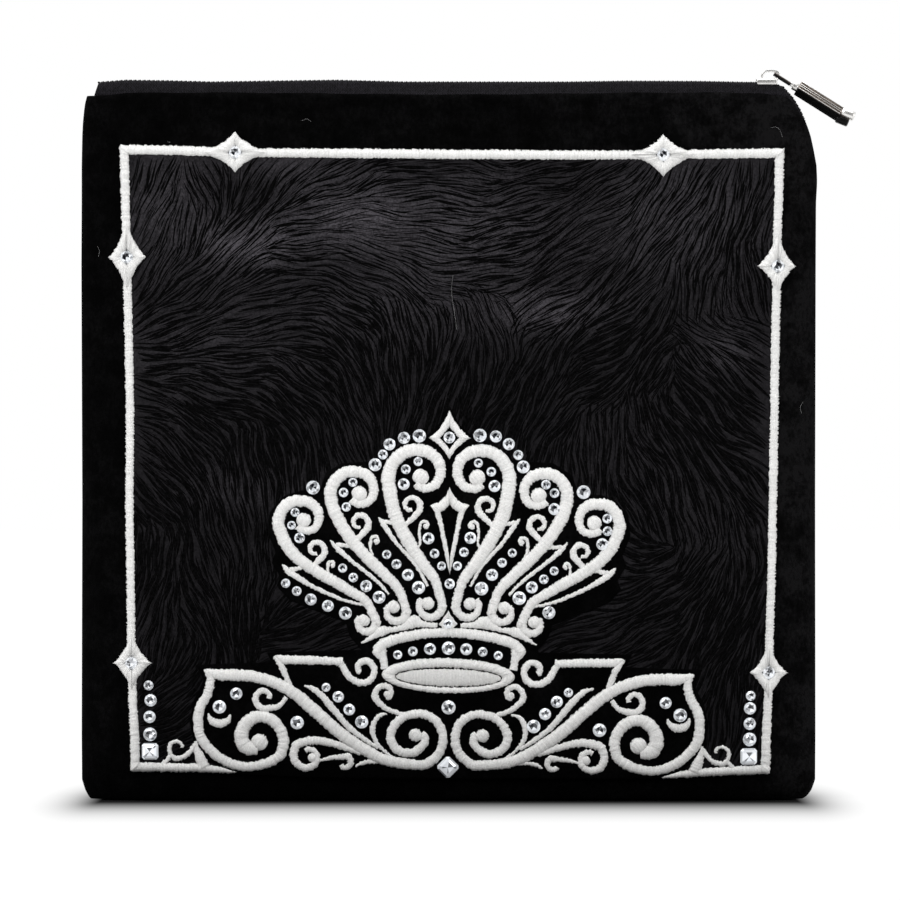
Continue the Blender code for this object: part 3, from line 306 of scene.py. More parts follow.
def pile_finish():
    """The standing pile of the figured panel's strands."""
    f = Finish("strand_pile")
    place = f.place()
    tips = f.noise(place, 1300.0, 2.0)
    colour = f.blended(tips.over(0.3, 0.8), grey(0.0008), (0.0044, 0.0042, 0.0046, 1.0))
    return f.surface({"Base Color": colour, "Roughness": 0.88 + tips * 0.1,
                      "Specular IOR Level": 0.015, "Sheen Weight": 0.002, "Sheen Roughness": 0.5,
                      "Normal": f.bump(tips, 0.0003, 0.7)})


def satin_ground_finish():
    """Charcoal satin between the strands, with painted sheen in the patches that face the light."""
    f = Finish("charcoal_satin")
    place = f.place()
    x, _, z = f.axes(place)
    # The glows lighten the satin's colour: painted sheen.
    lit = 0.125
    for column, row, wide, tall, strength in GLOWS:
        middle_x, middle_z = chart(column, row)
        across = (x - middle_x * MM) / (wide * GRID * MM)
        up = (z - middle_z * MM) / (tall * GRID * MM)
        lit = lit + (-1.0 * (across * across + up * up)).exponential() * strength
    weft = (x * 9200.0).sine() * (z * 9200.0).sine()
    speckle = f.noise(place, 1250.0, 3.0, 0.7)
    swell = f.noise(place, 60.0, 2.0)
    tone = (lit * (0.35 + speckle.over(0.30, 0.72) * 0.95) * (0.7 + swell * 0.6)).held()
    colour = f.blended(tone, (0.0028, 0.0027, 0.0030, 1.0), (0.072, 0.067, 0.076, 1.0))
    return f.surface({"Base Color": colour, "Roughness": 0.66 + speckle * 0.2,
                      "Specular IOR Level": 0.03, "Sheen Weight": 0.004, "Sheen Roughness": 0.5,
                      "Normal": f.bump(weft * 0.4 + speckle * 0.6, 0.00012, 0.7)})


def thread_finish(name, colour, dull):
    """White satin thread: each stitch a shade of its own, with fibres along it, and painted shade in the
    grooves between stitches.
    """
    f = Finish(name)
    mark = f.node("ShaderNodeUVMap", {"uv_map": "thread"})
    _, v, _ = f.axes(mark)
    stitch = (v / THREAD).whole()
    shade = f.node("ShaderNodeTexWhiteNoise", {"noise_dimensions": "1D"}, {"W": stitch})
    fibres = f.noise(f.stretched(mark, (1.6, 9.0, 1.0)), 4.0, 3.0, 0.6)
    between_stitches = ((v * (2.0 * pi / THREAD)).sine() * 0.5 + 0.5) ** 0.7
    grain = f.noise(f.place(), 2100.0, 3.0, 0.7).over(0.30, 0.70)
    # The colour darkens towards the grooves between stitches: painted shade; the same wave also drives the
    # bump.
    tone = (0.26 + shade * 0.20 + fibres * 0.20 + grain * 0.50) * (0.76 + between_stitches * 0.24)
    colours = f.blended(tone.held(), dull, colour)
    return f.surface({"Base Color": colours, "Roughness": 0.42 + fibres * 0.22,
                      "Specular IOR Level": 0.42, "Sheen Weight": 0.18, "Sheen Roughness": 0.35,
                      "Normal": f.bump(fibres * 0.3 + between_stitches * 0.3 + grain * 0.5,
                                       0.00010, 0.8)})


def crystal_finish():
    """Silver-backed crystal: each facet's colour is a painted reflection, from dark to bright, and the
    colour also glows faintly as painted light.
    """
    f = Finish("cut_crystal")
    cut = f.node("ShaderNodeAttribute", {"attribute_name": "cut"}, {}, "Fac")
    tint = f.noise(f.place(), 420.0, 1.0)
    bright = f.blended(tint, (0.97, 0.98, 1.0, 1.0), (0.88, 0.93, 1.0, 1.0))
    colour = f.blended(cut, (0.006, 0.007, 0.010, 1.0), bright)
    # The emission makes the stones glow faintly: painted light.
    return f.surface({"Base Color": colour, "Metallic": 0.45,
                      "Roughness": 0.06 + tint * 0.06, "Specular IOR Level": 0.4,
                      "Coat Weight": 0.25, "Coat Roughness": 0.02,
                      "Emission Color": colour, "Emission Strength": 0.26})


def tape_finish():
    """Woven zip tape: a herringbone of fine ribs with a line of stitches."""
    f = Finish("woven_tape")
    place = f.place()
    x, y, z = f.axes(place)
    ribs = (x * 7400.0 + ((z + y * 0.9) * 5200.0).sine() * 1.4).sine() * 0.5 + 0.5
    worn = f.noise(place, 1100.0, 3.0, 0.7)
    turned_edge = z.over(0.2372, 0.2377) - z.over(0.2380, 0.2386)
    tone = (ribs * 0.28 + worn.over(0.25, 0.75) * 0.55 + turned_edge * worn * 0.5).held()
    colour = f.blended(tone, grey(0.0030), (0.0200, 0.0185, 0.0225, 1.0))
    return f.surface({"Base Color": colour, "Roughness": 0.80 + worn * 0.15,
                      "Specular IOR Level": 0.06, "Sheen Weight": 0.01, "Sheen Roughness": 0.5,
                      "Normal": f.bump(ribs, 0.00016, 0.8)})


def coil_finish():
    """Black nylon of the coils, slightly lighter on top: a painted highlight, patchy where rubbed."""
    f = Finish("nylon_coil")
    place = f.place()
    _, _, z = f.axes(place)
    rubbed = f.noise(place, 900.0, 2.0)
    # Lighter only on the coils' upper half: painted highlight, in rubbed patches.
    colour = f.blended((rubbed.over(0.45, 0.8) * z.over(0.2410, 0.2420)).held(), grey(0.003),
                       (0.016, 0.016, 0.017, 1.0))
    return f.surface({"Base Color": colour, "Roughness": 0.42 + rubbed * 0.2,
                      "Specular IOR Level": 0.16, "Normal": f.bump(rubbed, 0.00004, 0.5)})


def nickel_finish():
    """Plated metal with a soft polish, finely scratched."""
    f = Finish("bright_nickel")
    place = f.place()
    clouds = f.noise(place, 240.0, 3.0, 0.6)
    scratches = f.noise(f.stretched(place, (1.0, 9.0, 9.0)), 700.0, 2.0)
    colour = f.blended(clouds.over(0.35, 0.75), (0.66, 0.65, 0.63, 1.0), (0.92, 0.91, 0.89, 1.0))
    return f.surface({"Base Color": colour, "Metallic": 0.85,
                      "Roughness": 0.13 + clouds * 0.12 + scratches * 0.08,
                      "Normal": f.bump(scratches, 0.00002, 0.4)})


def smoked_finish():
    """Brown plating of the bar, finely rubbed, with painted shade that turns its lower half near black."""
    f = Finish("smoked_metal")
    place = f.place()
    x, _, z = f.axes(place)
    clouds = f.noise(place, 300.0, 3.0, 0.6)
    rubbed = f.noise(f.stretched(place, (0.5, 1.0, 1.0)), 900.0, 2.0)
    upper = (x - PIN[0] * MM) * sin(HANG) + (z - PIN[1] * MM) * cos(HANG)
    brown = f.blended(clouds.over(0.3, 0.75), (0.075, 0.062, 0.053, 1.0), (0.19, 0.16, 0.14, 1.0))
    # Near black below the bar's middle and brown above: painted shade on the underside.
    colour = f.blended(upper.over(-0.0001, 0.0006), grey(0.006), brown)
    return f.surface({"Base Color": colour, "Metallic": 0.8, "Specular IOR Level": 0.3,
                      "Roughness": 0.26 + clouds * 0.16 + rubbed * 0.08,
                      "Normal": f.bump(rubbed, 0.00002, 0.4)})


def lint_finish():
    f = Finish("lint_fibre")
    worn = f.noise(f.place(), 900.0, 1.0)
    return f.surface({"Base Color": f.blended(worn, grey(0.16), grey(0.42)), "Roughness": 0.7})


VELVET = velvet_finish()
PILE = pile_finish()
SATIN = satin_ground_finish()
WHITE_THREAD = thread_finish("white_thread", (0.95, 0.945, 0.93, 1.0), (0.46, 0.457, 0.45, 1.0))
GREY_THREAD = thread_finish("shaded_thread", (0.80, 0.795, 0.78, 1.0), (0.46, 0.457, 0.45, 1.0))
CRYSTAL = crystal_finish()
TAPE = tape_finish()
COIL = coil_finish()
NICKEL = nickel_finish()
SMOKED = smoked_finish()
LINT = lint_finish()


# Pieces

def piece_of(name, points, faces, marks=None, painted_facet_light=None, smoothed=True, turn_out=True):
    """One mesh at the origin; marks are a point's place across and along, and the face values are each
    face's painted reflection.
    """
    mesh = bpy.data.meshes.new(name)
    mesh.from_pydata([(p[0] * MM, p[1] * MM, p[2] * MM) for p in points], [], faces)
    if marks:
        layer = mesh.uv_layers.new(name="thread")
        flat = [0.0] * (2 * len(mesh.loops))
        for k, loop in enumerate(mesh.loops):
            flat[2 * k], flat[2 * k + 1] = marks[loop.vertex_index]
        layer.data.foreach_set("uv", flat)
    if painted_facet_light:
        mesh.attributes.new("cut", "FLOAT", "FACE").data.foreach_set("value", painted_facet_light)
    if turn_out:
        work = bmesh.new()
        work.from_mesh(mesh)
        bmesh.ops.recalc_face_normals(work, faces=work.faces)
        work.to_mesh(mesh)
        work.free()
    mesh.polygons.foreach_set("use_smooth", [smoothed] * len(mesh.polygons))
    made = bpy.data.objects.new(name, mesh)
    bpy.context.collection.objects.link(made)
    return made


def settle(made, finish, nodes=(), body="bag"):
    """Finish of a piece, the body it rides on and the nodes it stands for."""
    made.data.materials.clear()
    made.data.materials.append(finish)
    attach(made, body)
    if nodes:
        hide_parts(*nodes)


def alone(made):
    """Select one object and nothing else."""
    bpy.ops.object.select_all(action="DESELECT")
    made.select_set(True)
    bpy.context.view_layer.objects.active = made


@contextmanager
def edited(made, whole=False):
    """Edit mode on one piece, with all of it selected where that is asked for."""
    alone(made)
    bpy.ops.object.mode_set(mode="EDIT")
    if whole:
        bpy.ops.mesh.select_all(action="SELECT")
    yield
    bpy.ops.object.mode_set(mode="OBJECT")


# Cloth

def grid_faces(rows, columns, offset=0):
    return [(offset + r * columns + c, offset + r * columns + c + 1,
             offset + (r + 1) * columns + c + 1, offset + (r + 1) * columns + c)
            for r in range(rows - 1) for c in range(columns - 1)]


def panel_heights():
    """Rows of a velvet panel from its upper edge down, closer round the foot."""
    high = [TOP - k * 2.4 for k in range(int((TOP - 16.0) / 2.4))]
    low = [FOOT_ROUND * (1.0 - cos(0.5 * pi * k / 9.0)) for k in range(9, -1, -1)]
    return high + low


def across_at(z, count=110):
    """Places across a panel, closer together towards the seams."""
    left, right = between(SIDES, z, 1), between(SIDES, z, 2)
    shares = [sin(0.5 * pi * (2.0 * k / count - 1.0)) for k in range(count + 1)]
    return [lerp(left, right, (s + 1.0) / 2.0) for s in shares]


def velvet_wall(name, rows, towards):
    """A velvet panel with its wall turned inwards, that meets the other one in the seam."""
    count = len(rows[0])
    made = piece_of(name, [p for row in rows for p in row], grid_faces(len(rows), count),
                    turn_out=False)
    wall = made.modifiers.new("wall", "SOLIDIFY")
    wall.thickness = CLOTH * MM
    wall.offset = -1.0
    wall.use_even_offset = True
    wall.use_quality_normals = True
    alone(made)
    bpy.ops.object.modifier_apply(modifier="wall")
    for vertex in made.data.vertices:
        x, y, z = vertex.co / MM
        if (y - seam(x, z)) * towards <= GAP / 2 + 0.01:
            vertex.co.y = seam(x, z) * MM
    settle(made, VELVET, [name.replace("velvet", "panel")])
    return made


def seam(x, z):
    """Where the two panels meet: in the middle, and behind the foot strip."""
    return depth(x, 0.0) if z < 1.6 * CLOTH else 0.0


def pressed_edge(z):
    """The turned-in upper edge: a soft roll over the line it is sewn down on."""
    under = TOP - z
    roll = 0.35 * smooth(1.0 - abs(under - 1.6) / 1.6) if under < 3.2 else 0.0
    furrow = -0.30 * smooth(1.0 - abs(under - 4.4) / 1.0) if 3.4 < under < 5.4 else 0.0
    return roll + furrow


def rise_of_edge(x, z):
    """How the upper edge waves up and down; it falls away at the right shoulder."""
    wave = 0.34 * cos(2.0 * pi * (x + 80.0) / 160.0) + 0.12 * sin(0.23 * x)
    fall = 1.5 * smooth((x - 105.0) / 9.0) + 0.6 * smooth((-x - 108.0) / 10.0)
    return (wave - fall) * smooth((z - 226.0) / (TOP - 226.0))


def front_velvet():
    rows = []
    for z in panel_heights():
        rows.append([on_front(x, z, pressed_edge(z)) + Vector((0.0, 0.0, rise_of_edge(x, z)))
                     for x in across_at(z)])
    for k in range(1, 11):
        along = -1.0 + k / 5.0
        rows.append([Vector((x, along * depth(x, 0.0) - GAP / 2, 0.0)) for x in across_at(0.0)])
    made = velvet_wall("front_velvet", [row[::-1] for row in rows], -1.0)


def back_velvet():
    rows = []
    for z in panel_heights():
        rows.append([Vector((x, depth(x, z) + 0.7 * ripple(-x, z) + GAP / 2 + pressed_edge(z),
                             z + rise_of_edge(x, z))) for x in across_at(z)])
    made = velvet_wall("back_velvet", rows, 1.0)


def layer(name, outline_rows, low, high):
    """A thin closed layer on the front; outline_rows are rows of chart places."""
    count = len(outline_rows[0])
    points = []
    for lift in (high, low):
        for row in outline_rows:
            points += [on_front(x, z, lift) for x, z in row]
    half = len(outline_rows) * count
    faces = grid_faces(len(outline_rows), count) + grid_faces(len(outline_rows), count, half)
    rim = list(range(count))
    rim += [r * count + count - 1 for r in range(1, len(outline_rows))]
    rim += [half - 1 - c for c in range(1, count)]
    rim += [r * count for r in range(len(outline_rows) - 2, 0, -1)]
    faces += [(a, b, b + half, a + half) for a, b in zip(rim, rim[1:] + rim[:1])]
    return piece_of(name, points, faces)


PANEL_ROWS = (152.0, 768.5)
STRAND_ROWS = (150.6, 769.0)
STRAND_FIELD = (122.0, 148.0, 656.0, 626.0)   # left, top, width and height on the chart
PANEL_LEFT = ((149.0, 123.6), (245.0, 126.0), (330.0, 128.2), (410.0, 129.8), (500.0, 129.4),
              (580.0, 130.8), (676.0, 131.8), (740.0, 134.8), (767.0, 135.2))
PANEL_RIGHT = ((152.6, 779.8), (252.0, 777.0), (340.0, 775.6), (410.0, 774.6), (500.0, 772.8),
               (580.0, 771.2), (686.0, 768.8), (740.0, 766.2), (770.0, 765.6))
PANEL_TOP = ((123.0, 149.4), (222.0, 151.6), (450.0, 153.8), (560.0, 154.6), (720.0, 153.4),
             (780.0, 152.6))


def panel_grid(columns, rows):
    """Chart places over the figured panel, whose edges lie under the frame."""
    made = []
    for r in range(rows + 1):
        line = []
        for c in range(columns + 1):
            row = lerp(*PANEL_ROWS, r / rows)
            column = lerp(between(PANEL_LEFT, row, 1), between(PANEL_RIGHT, row, 1), c / columns)
            row = lerp(between(PANEL_TOP, column, 1), PANEL_ROWS[1], r / rows)
            line.append(chart(column, row))
        made.append(line)
    return made


def satin_ground():
    made = layer("satin_ground", panel_grid(96, 92), 0.0, FIGURED_TOP)
    settle(made, SATIN, ["figured_panel"])


# Strands of the figured panel

COMB = (
    # chart place and direction of the pile, in degrees from the right
    (150, 175, 65), (150, 225, 70), (150, 275, 52), (150, 325, 30), (150, 360, 3),
    (150, 400, -20), (150, 450, -32), (150, 480, -38), (150, 500, -45), (150, 550, 80),
    (150, 600, 75), (150, 650, 70), (170, 700, 45), (170, 730, 20), (205, 180, -62),
    (200, 225, 75), (200, 275, 45), (200, 325, 20), (200, 360, 2), (200, 400, -25),
    (200, 450, -53), (200, 490, -65), (200, 550, -75), (210, 610, -58), (235, 185, 90),
    (255, 175, 60), (250, 225, 40), (250, 275, 30), (250, 325, 15), (250, 375, -5),
    (250, 400, -20), (250, 450, -80), (250, 500, -85), (250, 550, -80), (250, 600, 85),
    (250, 640, 90), (280, 600, 55), (300, 620, 30), (300, 642, 10), (270, 640, 20),
    (300, 175, 38), (300, 225, 18), (300, 260, -3), (300, 300, 5), (300, 325, 5),
    (300, 350, -5), (300, 375, -40), (300, 400, -45), (300, 450, -75), (300, 480, -85),
    (350, 175, 25), (350, 210, 5), (350, 250, -10), (350, 275, -20), (350, 300, -25),
    (350, 325, -40), (350, 350, -60), (350, 400, -60), (350, 450, -75), (400, 175, 12),
    (400, 225, -5), (400, 260, -25), (400, 290, -35), (400, 310, -65), (400, 350, -85),
    (400, 400, 88), (400, 430, 80), (450, 175, -8), (450, 225, -5), (450, 260, -5),
    (450, 290, -10), (450, 320, -85), (450, 360, 75), (450, 400, 65), (475, 170, -10),
    (500, 200, 8), (500, 225, 12), (500, 260, 15), (500, 280, 15), (490, 310, -60),
    (500, 350, -85), (500, 375, 75), (500, 410, 60), (550, 175, 8), (550, 210, 25),
    (550, 250, 30), (550, 290, 30), (550, 320, 30), (550, 350, 60), (550, 380, 60),
    (550, 420, 55), (550, 460, 80), (600, 175, 25), (600, 200, 30), (600, 250, 35),
    (600, 300, 40), (600, 330, 30), (600, 360, 30), (600, 390, 25), (600, 430, 88),
    (600, 470, -85), (600, 600, 10), (600, 640, 20), (650, 175, 55), (650, 210, 50),
    (650, 260, 55), (650, 300, 50), (650, 340, 45), (650, 380, 60), (650, 410, -70),
    (650, 450, -60), (650, 480, -70), (650, 520, -60), (640, 550, -20), (650, 560, 15),
    (650, 600, 25), (650, 640, 35), (680, 280, 80), (680, 520, -80), (700, 175, 65),
    (700, 225, 60), (700, 260, 60), (700, 300, 88), (700, 330, -30), (700, 360, -50),
    (700, 400, -50), (700, 450, -50), (700, 480, -70), (700, 530, -75), (700, 560, 60),
    (700, 600, 55), (700, 650, 60), (700, 690, 75), (740, 720, 80), (750, 175, 75),
    (750, 225, 75), (750, 265, -80), (750, 300, -85), (750, 330, -15), (750, 360, -30),
    (750, 400, -45), (750, 450, -32), (750, 500, -50), (750, 550, -85), (750, 600, 70),
    (750, 650, 70),
)
COMB_STEP = 8.0
MOTIF_OUTLINE = (
    # left half, from the axis outwards and down
    (449.0, 405.0), (439.0, 424.0), (424.0, 438.0), (404.0, 442.0), (388.0, 455.0), (378.0, 470.0),
    (366.0, 463.0), (345.0, 461.0), (326.0, 473.0), (319.0, 494.0), (303.0, 490.0), (284.0, 496.0),
    (270.0, 512.0), (268.0, 532.0), (276.0, 552.0), (272.0, 562.0), (281.0, 577.0), (277.0, 586.0),
    (290.0, 600.0), (312.0, 609.0), (346.0, 622.0), (350.0, 636.0), (362.0, 650.0), (347.0, 652.0),
    (266.0, 650.0), (275.0, 668.0), (262.0, 667.0), (196.0, 664.0), (204.0, 680.0), (194.0, 700.0),
    (190.0, 722.0), (194.0, 744.0), (207.0, 759.0), (225.0, 770.4), (247.0, 775.6), (300.0, 776.6),
    (449.0, 780.0),
)


def combed(column, row):
    """Direction of the pile at a chart place, from its combed neighbours."""
    east = north = 0.0
    for c, r, degrees_up in COMB:
        near = (c - column) ** 2 + (r - row) ** 2 + 60.0
        weight = 1.0 / (near * near)
        east += weight * cos(2.0 * radians(degrees_up))
        north += weight * sin(2.0 * radians(degrees_up))
    angle = 0.5 * atan2(north, east)
    angle += 0.16 * sin(0.083 * column + 0.05 * row) + 0.12 * sin(0.131 * row - 0.06 * column)
    return cos(angle), -sin(angle)


class Comb:
    """Directions kept on a grid, so that thousands of strands can look them up."""

    def __init__(self):
        self.kept = {}

    def at(self, column, row):
        spot = (round(column / COMB_STEP), round(row / COMB_STEP))
        if spot not in self.kept:
            self.kept[spot] = combed(spot[0] * COMB_STEP, spot[1] * COMB_STEP)
        return self.kept[spot]


def inside_outline(column, row, outline):
    """True where a chart place lies within a closed outline."""
    odd = False
    for (c0, r0), (c1, r1) in zip(outline, outline[1:] + outline[:1]):
        if (r0 > row) != (r1 > row) and column < c0 + (row - r0) / (r1 - r0) * (c1 - c0):
            odd = not odd
    return odd


def whole_outline():
    """Chart outline of the plain ground, both halves."""
    left = list(MOTIF_OUTLINE)
    right = [(2.0 * AXIS_COLUMN - c, r + RIGHT_DROP * abs(c - AXIS_COLUMN))
             for c, r in MOTIF_OUTLINE[-2:0:-1]]
    return left + right


def strand_line(comb, column, row, reach, steps):
    """A combed line through a place, as far on either side as the strand reaches."""
    halves = []
    for sense in (-1.0, 1.0):
        c, r = column, row
        east, south = comb.at(c, r)
        east, south = sense * east, sense * south
        side = []
        for _ in range(steps):
            here = comb.at(c, r)
            if here[0] * east + here[1] * south < 0.0:
                here = (-here[0], -here[1])
            east, south = 0.5 * (east + here[0]), 0.5 * (south + here[1])
            size = hypot(east, south) or 1.0
            east, south = east / size, south / size
            c += east * reach / steps
            r += south * reach / steps
            side.append((c, r))
        halves.append(side)
    return halves[0][::-1] + [(column, row)] + halves[1]


def combed_slivers(name, seed, pitch, reach, measure, profile, heights):
    """Thousands of tapered slivers along the combed lines, joined as one piece.

    measure gives a sliver's half width, profile its shares along it, and heights the lift of its
    edges, the lift of its ridge and how much the ridge gains with the width.
    """
    chance = random.Random(seed)
    comb = Comb()
    plain = whole_outline()
    points, faces = [], []
    count = len(profile)
    left, top, width, height = STRAND_FIELD
    for r in range(int(height / pitch)):
        for c in range(int(width / pitch)):
            column = left + (c + chance.uniform(-0.1, 1.1)) * pitch
            row = top + (r + chance.uniform(-0.1, 1.1)) * pitch
            wide = measure(chance, column, row)
            line = strand_line(comb, column, row, chance.uniform(*reach), (count + 1) // 2)
            ends_in = all(between(PANEL_LEFT, y, 1) - 2.0 < x < between(PANEL_RIGHT, y, 1) + 2.0
                          and STRAND_ROWS[0] < y < STRAND_ROWS[1] for x, y in (line[0], line[-1]))
            if not ends_in or wide <= 0.0 or inside_outline(column, row, plain):
                continue
            start = len(points)
            points.append(on_front(*chart(*line[0]), heights[0]))
            for k in range(1, count + 1):
                (c0, r0), (c1, r1), (c2, r2) = line[k - 1:k + 2]
                size = hypot(c2 - c0, r2 - r0) or 1.0
                half = wide * profile[k - 1]
                east, south = -(r2 - r0) / size * half, (c2 - c0) / size * half
                points.append(on_front(*chart(c1 + east, r1 + south), heights[0]))
                points.append(on_front(*chart(c1 - east, r1 - south), heights[0]))
                points.append(on_front(*chart(c1, r1), heights[1] + heights[2] * half))
            points.append(on_front(*chart(*line[-1]), heights[0]))
            last = len(points) - 1
            for a, b in ((0, 1), (1, 2), (2, 0)):
                faces.append((start, start + 1 + a, start + 1 + b))
                faces.append((last, last - 3 + b, last - 3 + a))
                for k in range(count - 1):
                    i, j = start + 1 + 3 * k, start + 4 + 3 * k
                    faces.append((i + a, j + a, j + b, i + b))
    return piece_of(name, points, faces)


def pile_strands():
    """Dark strands of standing pile, finer where the painted sheen lightens the satin."""
    def measure(chance, column, row):
        low = smooth((row - 290.0) / 90.0)
        wide = chance.uniform(0.62, 1.50) + 0.40 * low
        wide *= 1.0 + 0.30 * sin(0.027 * column + 1.0) * sin(0.031 * row + 0.6)
        return wide * (1.12 - 0.55 * min(1.0, light_at(column, row)))

    made = combed_slivers("pile_strands", seed=11, pitch=6.9, reach=(12.0, 23.0), measure=measure,
                          profile=(0.55, 0.95, 1.0, 0.8, 0.45),
                          heights=(FIGURED_TOP - 0.05, FIGURED_TOP + 0.10, 0.10))
    settle(made, PILE, ["figured_panel"])


def satin_hairs():
    """Fine light lines of satin that show between and over the strands."""
    made = combed_slivers("satin_hairs", seed=12, pitch=8.4, reach=(9.0, 20.0),
                          measure=lambda chance, column, row: chance.uniform(0.36, 0.72),
                          profile=(0.8, 1.0, 0.7),
                          heights=(FIGURED_TOP - 0.05, FIGURED_TOP + 0.26, 0.04))
    settle(made, SATIN, ["figured_panel"])


def plain_ground():
    """Plain velvet under the crown and its base, cut to the outline of the stitching."""
    outline = [Vector(p) for p in whole_outline()]
    rows = []
    steps = 150
    top = min(p.y for p in outline) + 1.0
    low = max(p.y for p in outline) - 1.0
    for r in range(steps + 1):
        row = lerp(top, low, r / steps)
        crossings = []
        for a, b in zip(outline, outline[1:] + outline[:1]):
            if (a.y > row) != (b.y > row):
                crossings.append(a.x + (row - a.y) / (b.y - a.y) * (b.x - a.x))
        left, right = min(crossings), max(crossings)
        rows.append([chart(lerp(left, right, k / 80.0), row) for k in range(81)])
    made = layer("plain_ground", rows, FIGURED_TOP - 0.1, PLAIN_TOP)
    settle(made, VELVET, ["motif_ground"])


# Satin stitch

def curve_through(stations, fine=10):
    """Catmull-Rom curve through (column, row, half width) stations."""
    ends = [stations[0]] + list(stations) + [stations[-1]]
    made = []
    for a, b, c, d in zip(ends, ends[1:], ends[2:], ends[3:]):
        for k in range(fine):
            t = k / fine
            made.append(tuple(0.5 * (2 * q + (r - p) * t + (2 * p - 5 * q + 4 * r - s) * t * t
                                     + (3 * q - p - 3 * r + s) * t ** 3)
                              for p, q, r, s in zip(a, b, c, d)))
    made.append(tuple(stations[-1]))
    return made


def turn(column, row, radius, start, stop, half):
    """Stations round a centre; radius and half width run from a first to a last value."""
    count = max(2, ceil(abs(stop - start) / 20.0))
    made = []
    for k in range(count + 1):
        t = k / count
        angle = radians(lerp(start, stop, t))
        reach = lerp(radius[0], radius[1], t)
        made.append((column + reach * cos(angle), row - reach * sin(angle),
                     lerp(half[0], half[1], t)))
    return made


def with_corners(stations, near=5.0):
    """Straight runs with stations close to each corner, so that only the corner is mitred."""
    made = [stations[0]]
    for a, b in zip(stations, stations[1:]):
        run = hypot(b[0] - a[0], b[1] - a[1])
        if run > 3.0 * near:
            for share in (near / run, 1.0 - near / run):
                made.append(tuple(lerp(u, v, share) for u, v in zip(a, b)))
        made.append(b)
    return made


def rails(line):
    """The two edges of a line of stations, mitred where it bends."""
    left, right = [], []
    for k, (column, row, half) in enumerate(line):
        back = line[max(0, k - 1)]
        ahead = line[min(len(line) - 1, k + 1)]
        into = Vector((column - back[0], row - back[1]))
        out = Vector((ahead[0] - column, ahead[1] - row))
        into = into.normalized() if into.length > 1e-6 else out.normalized()
        out = out.normalized() if out.length > 1e-6 else into
        along = (into + out).normalized()
        mitre = min(1.5, 1.0 / max(0.3, along.dot(into)))
        across = Vector((-along.y, along.x)) * max(half, 0.5) * mitre
        left.append((column + across.x, row + across.y))
        right.append((column - across.x, row - across.y))
    return left, right


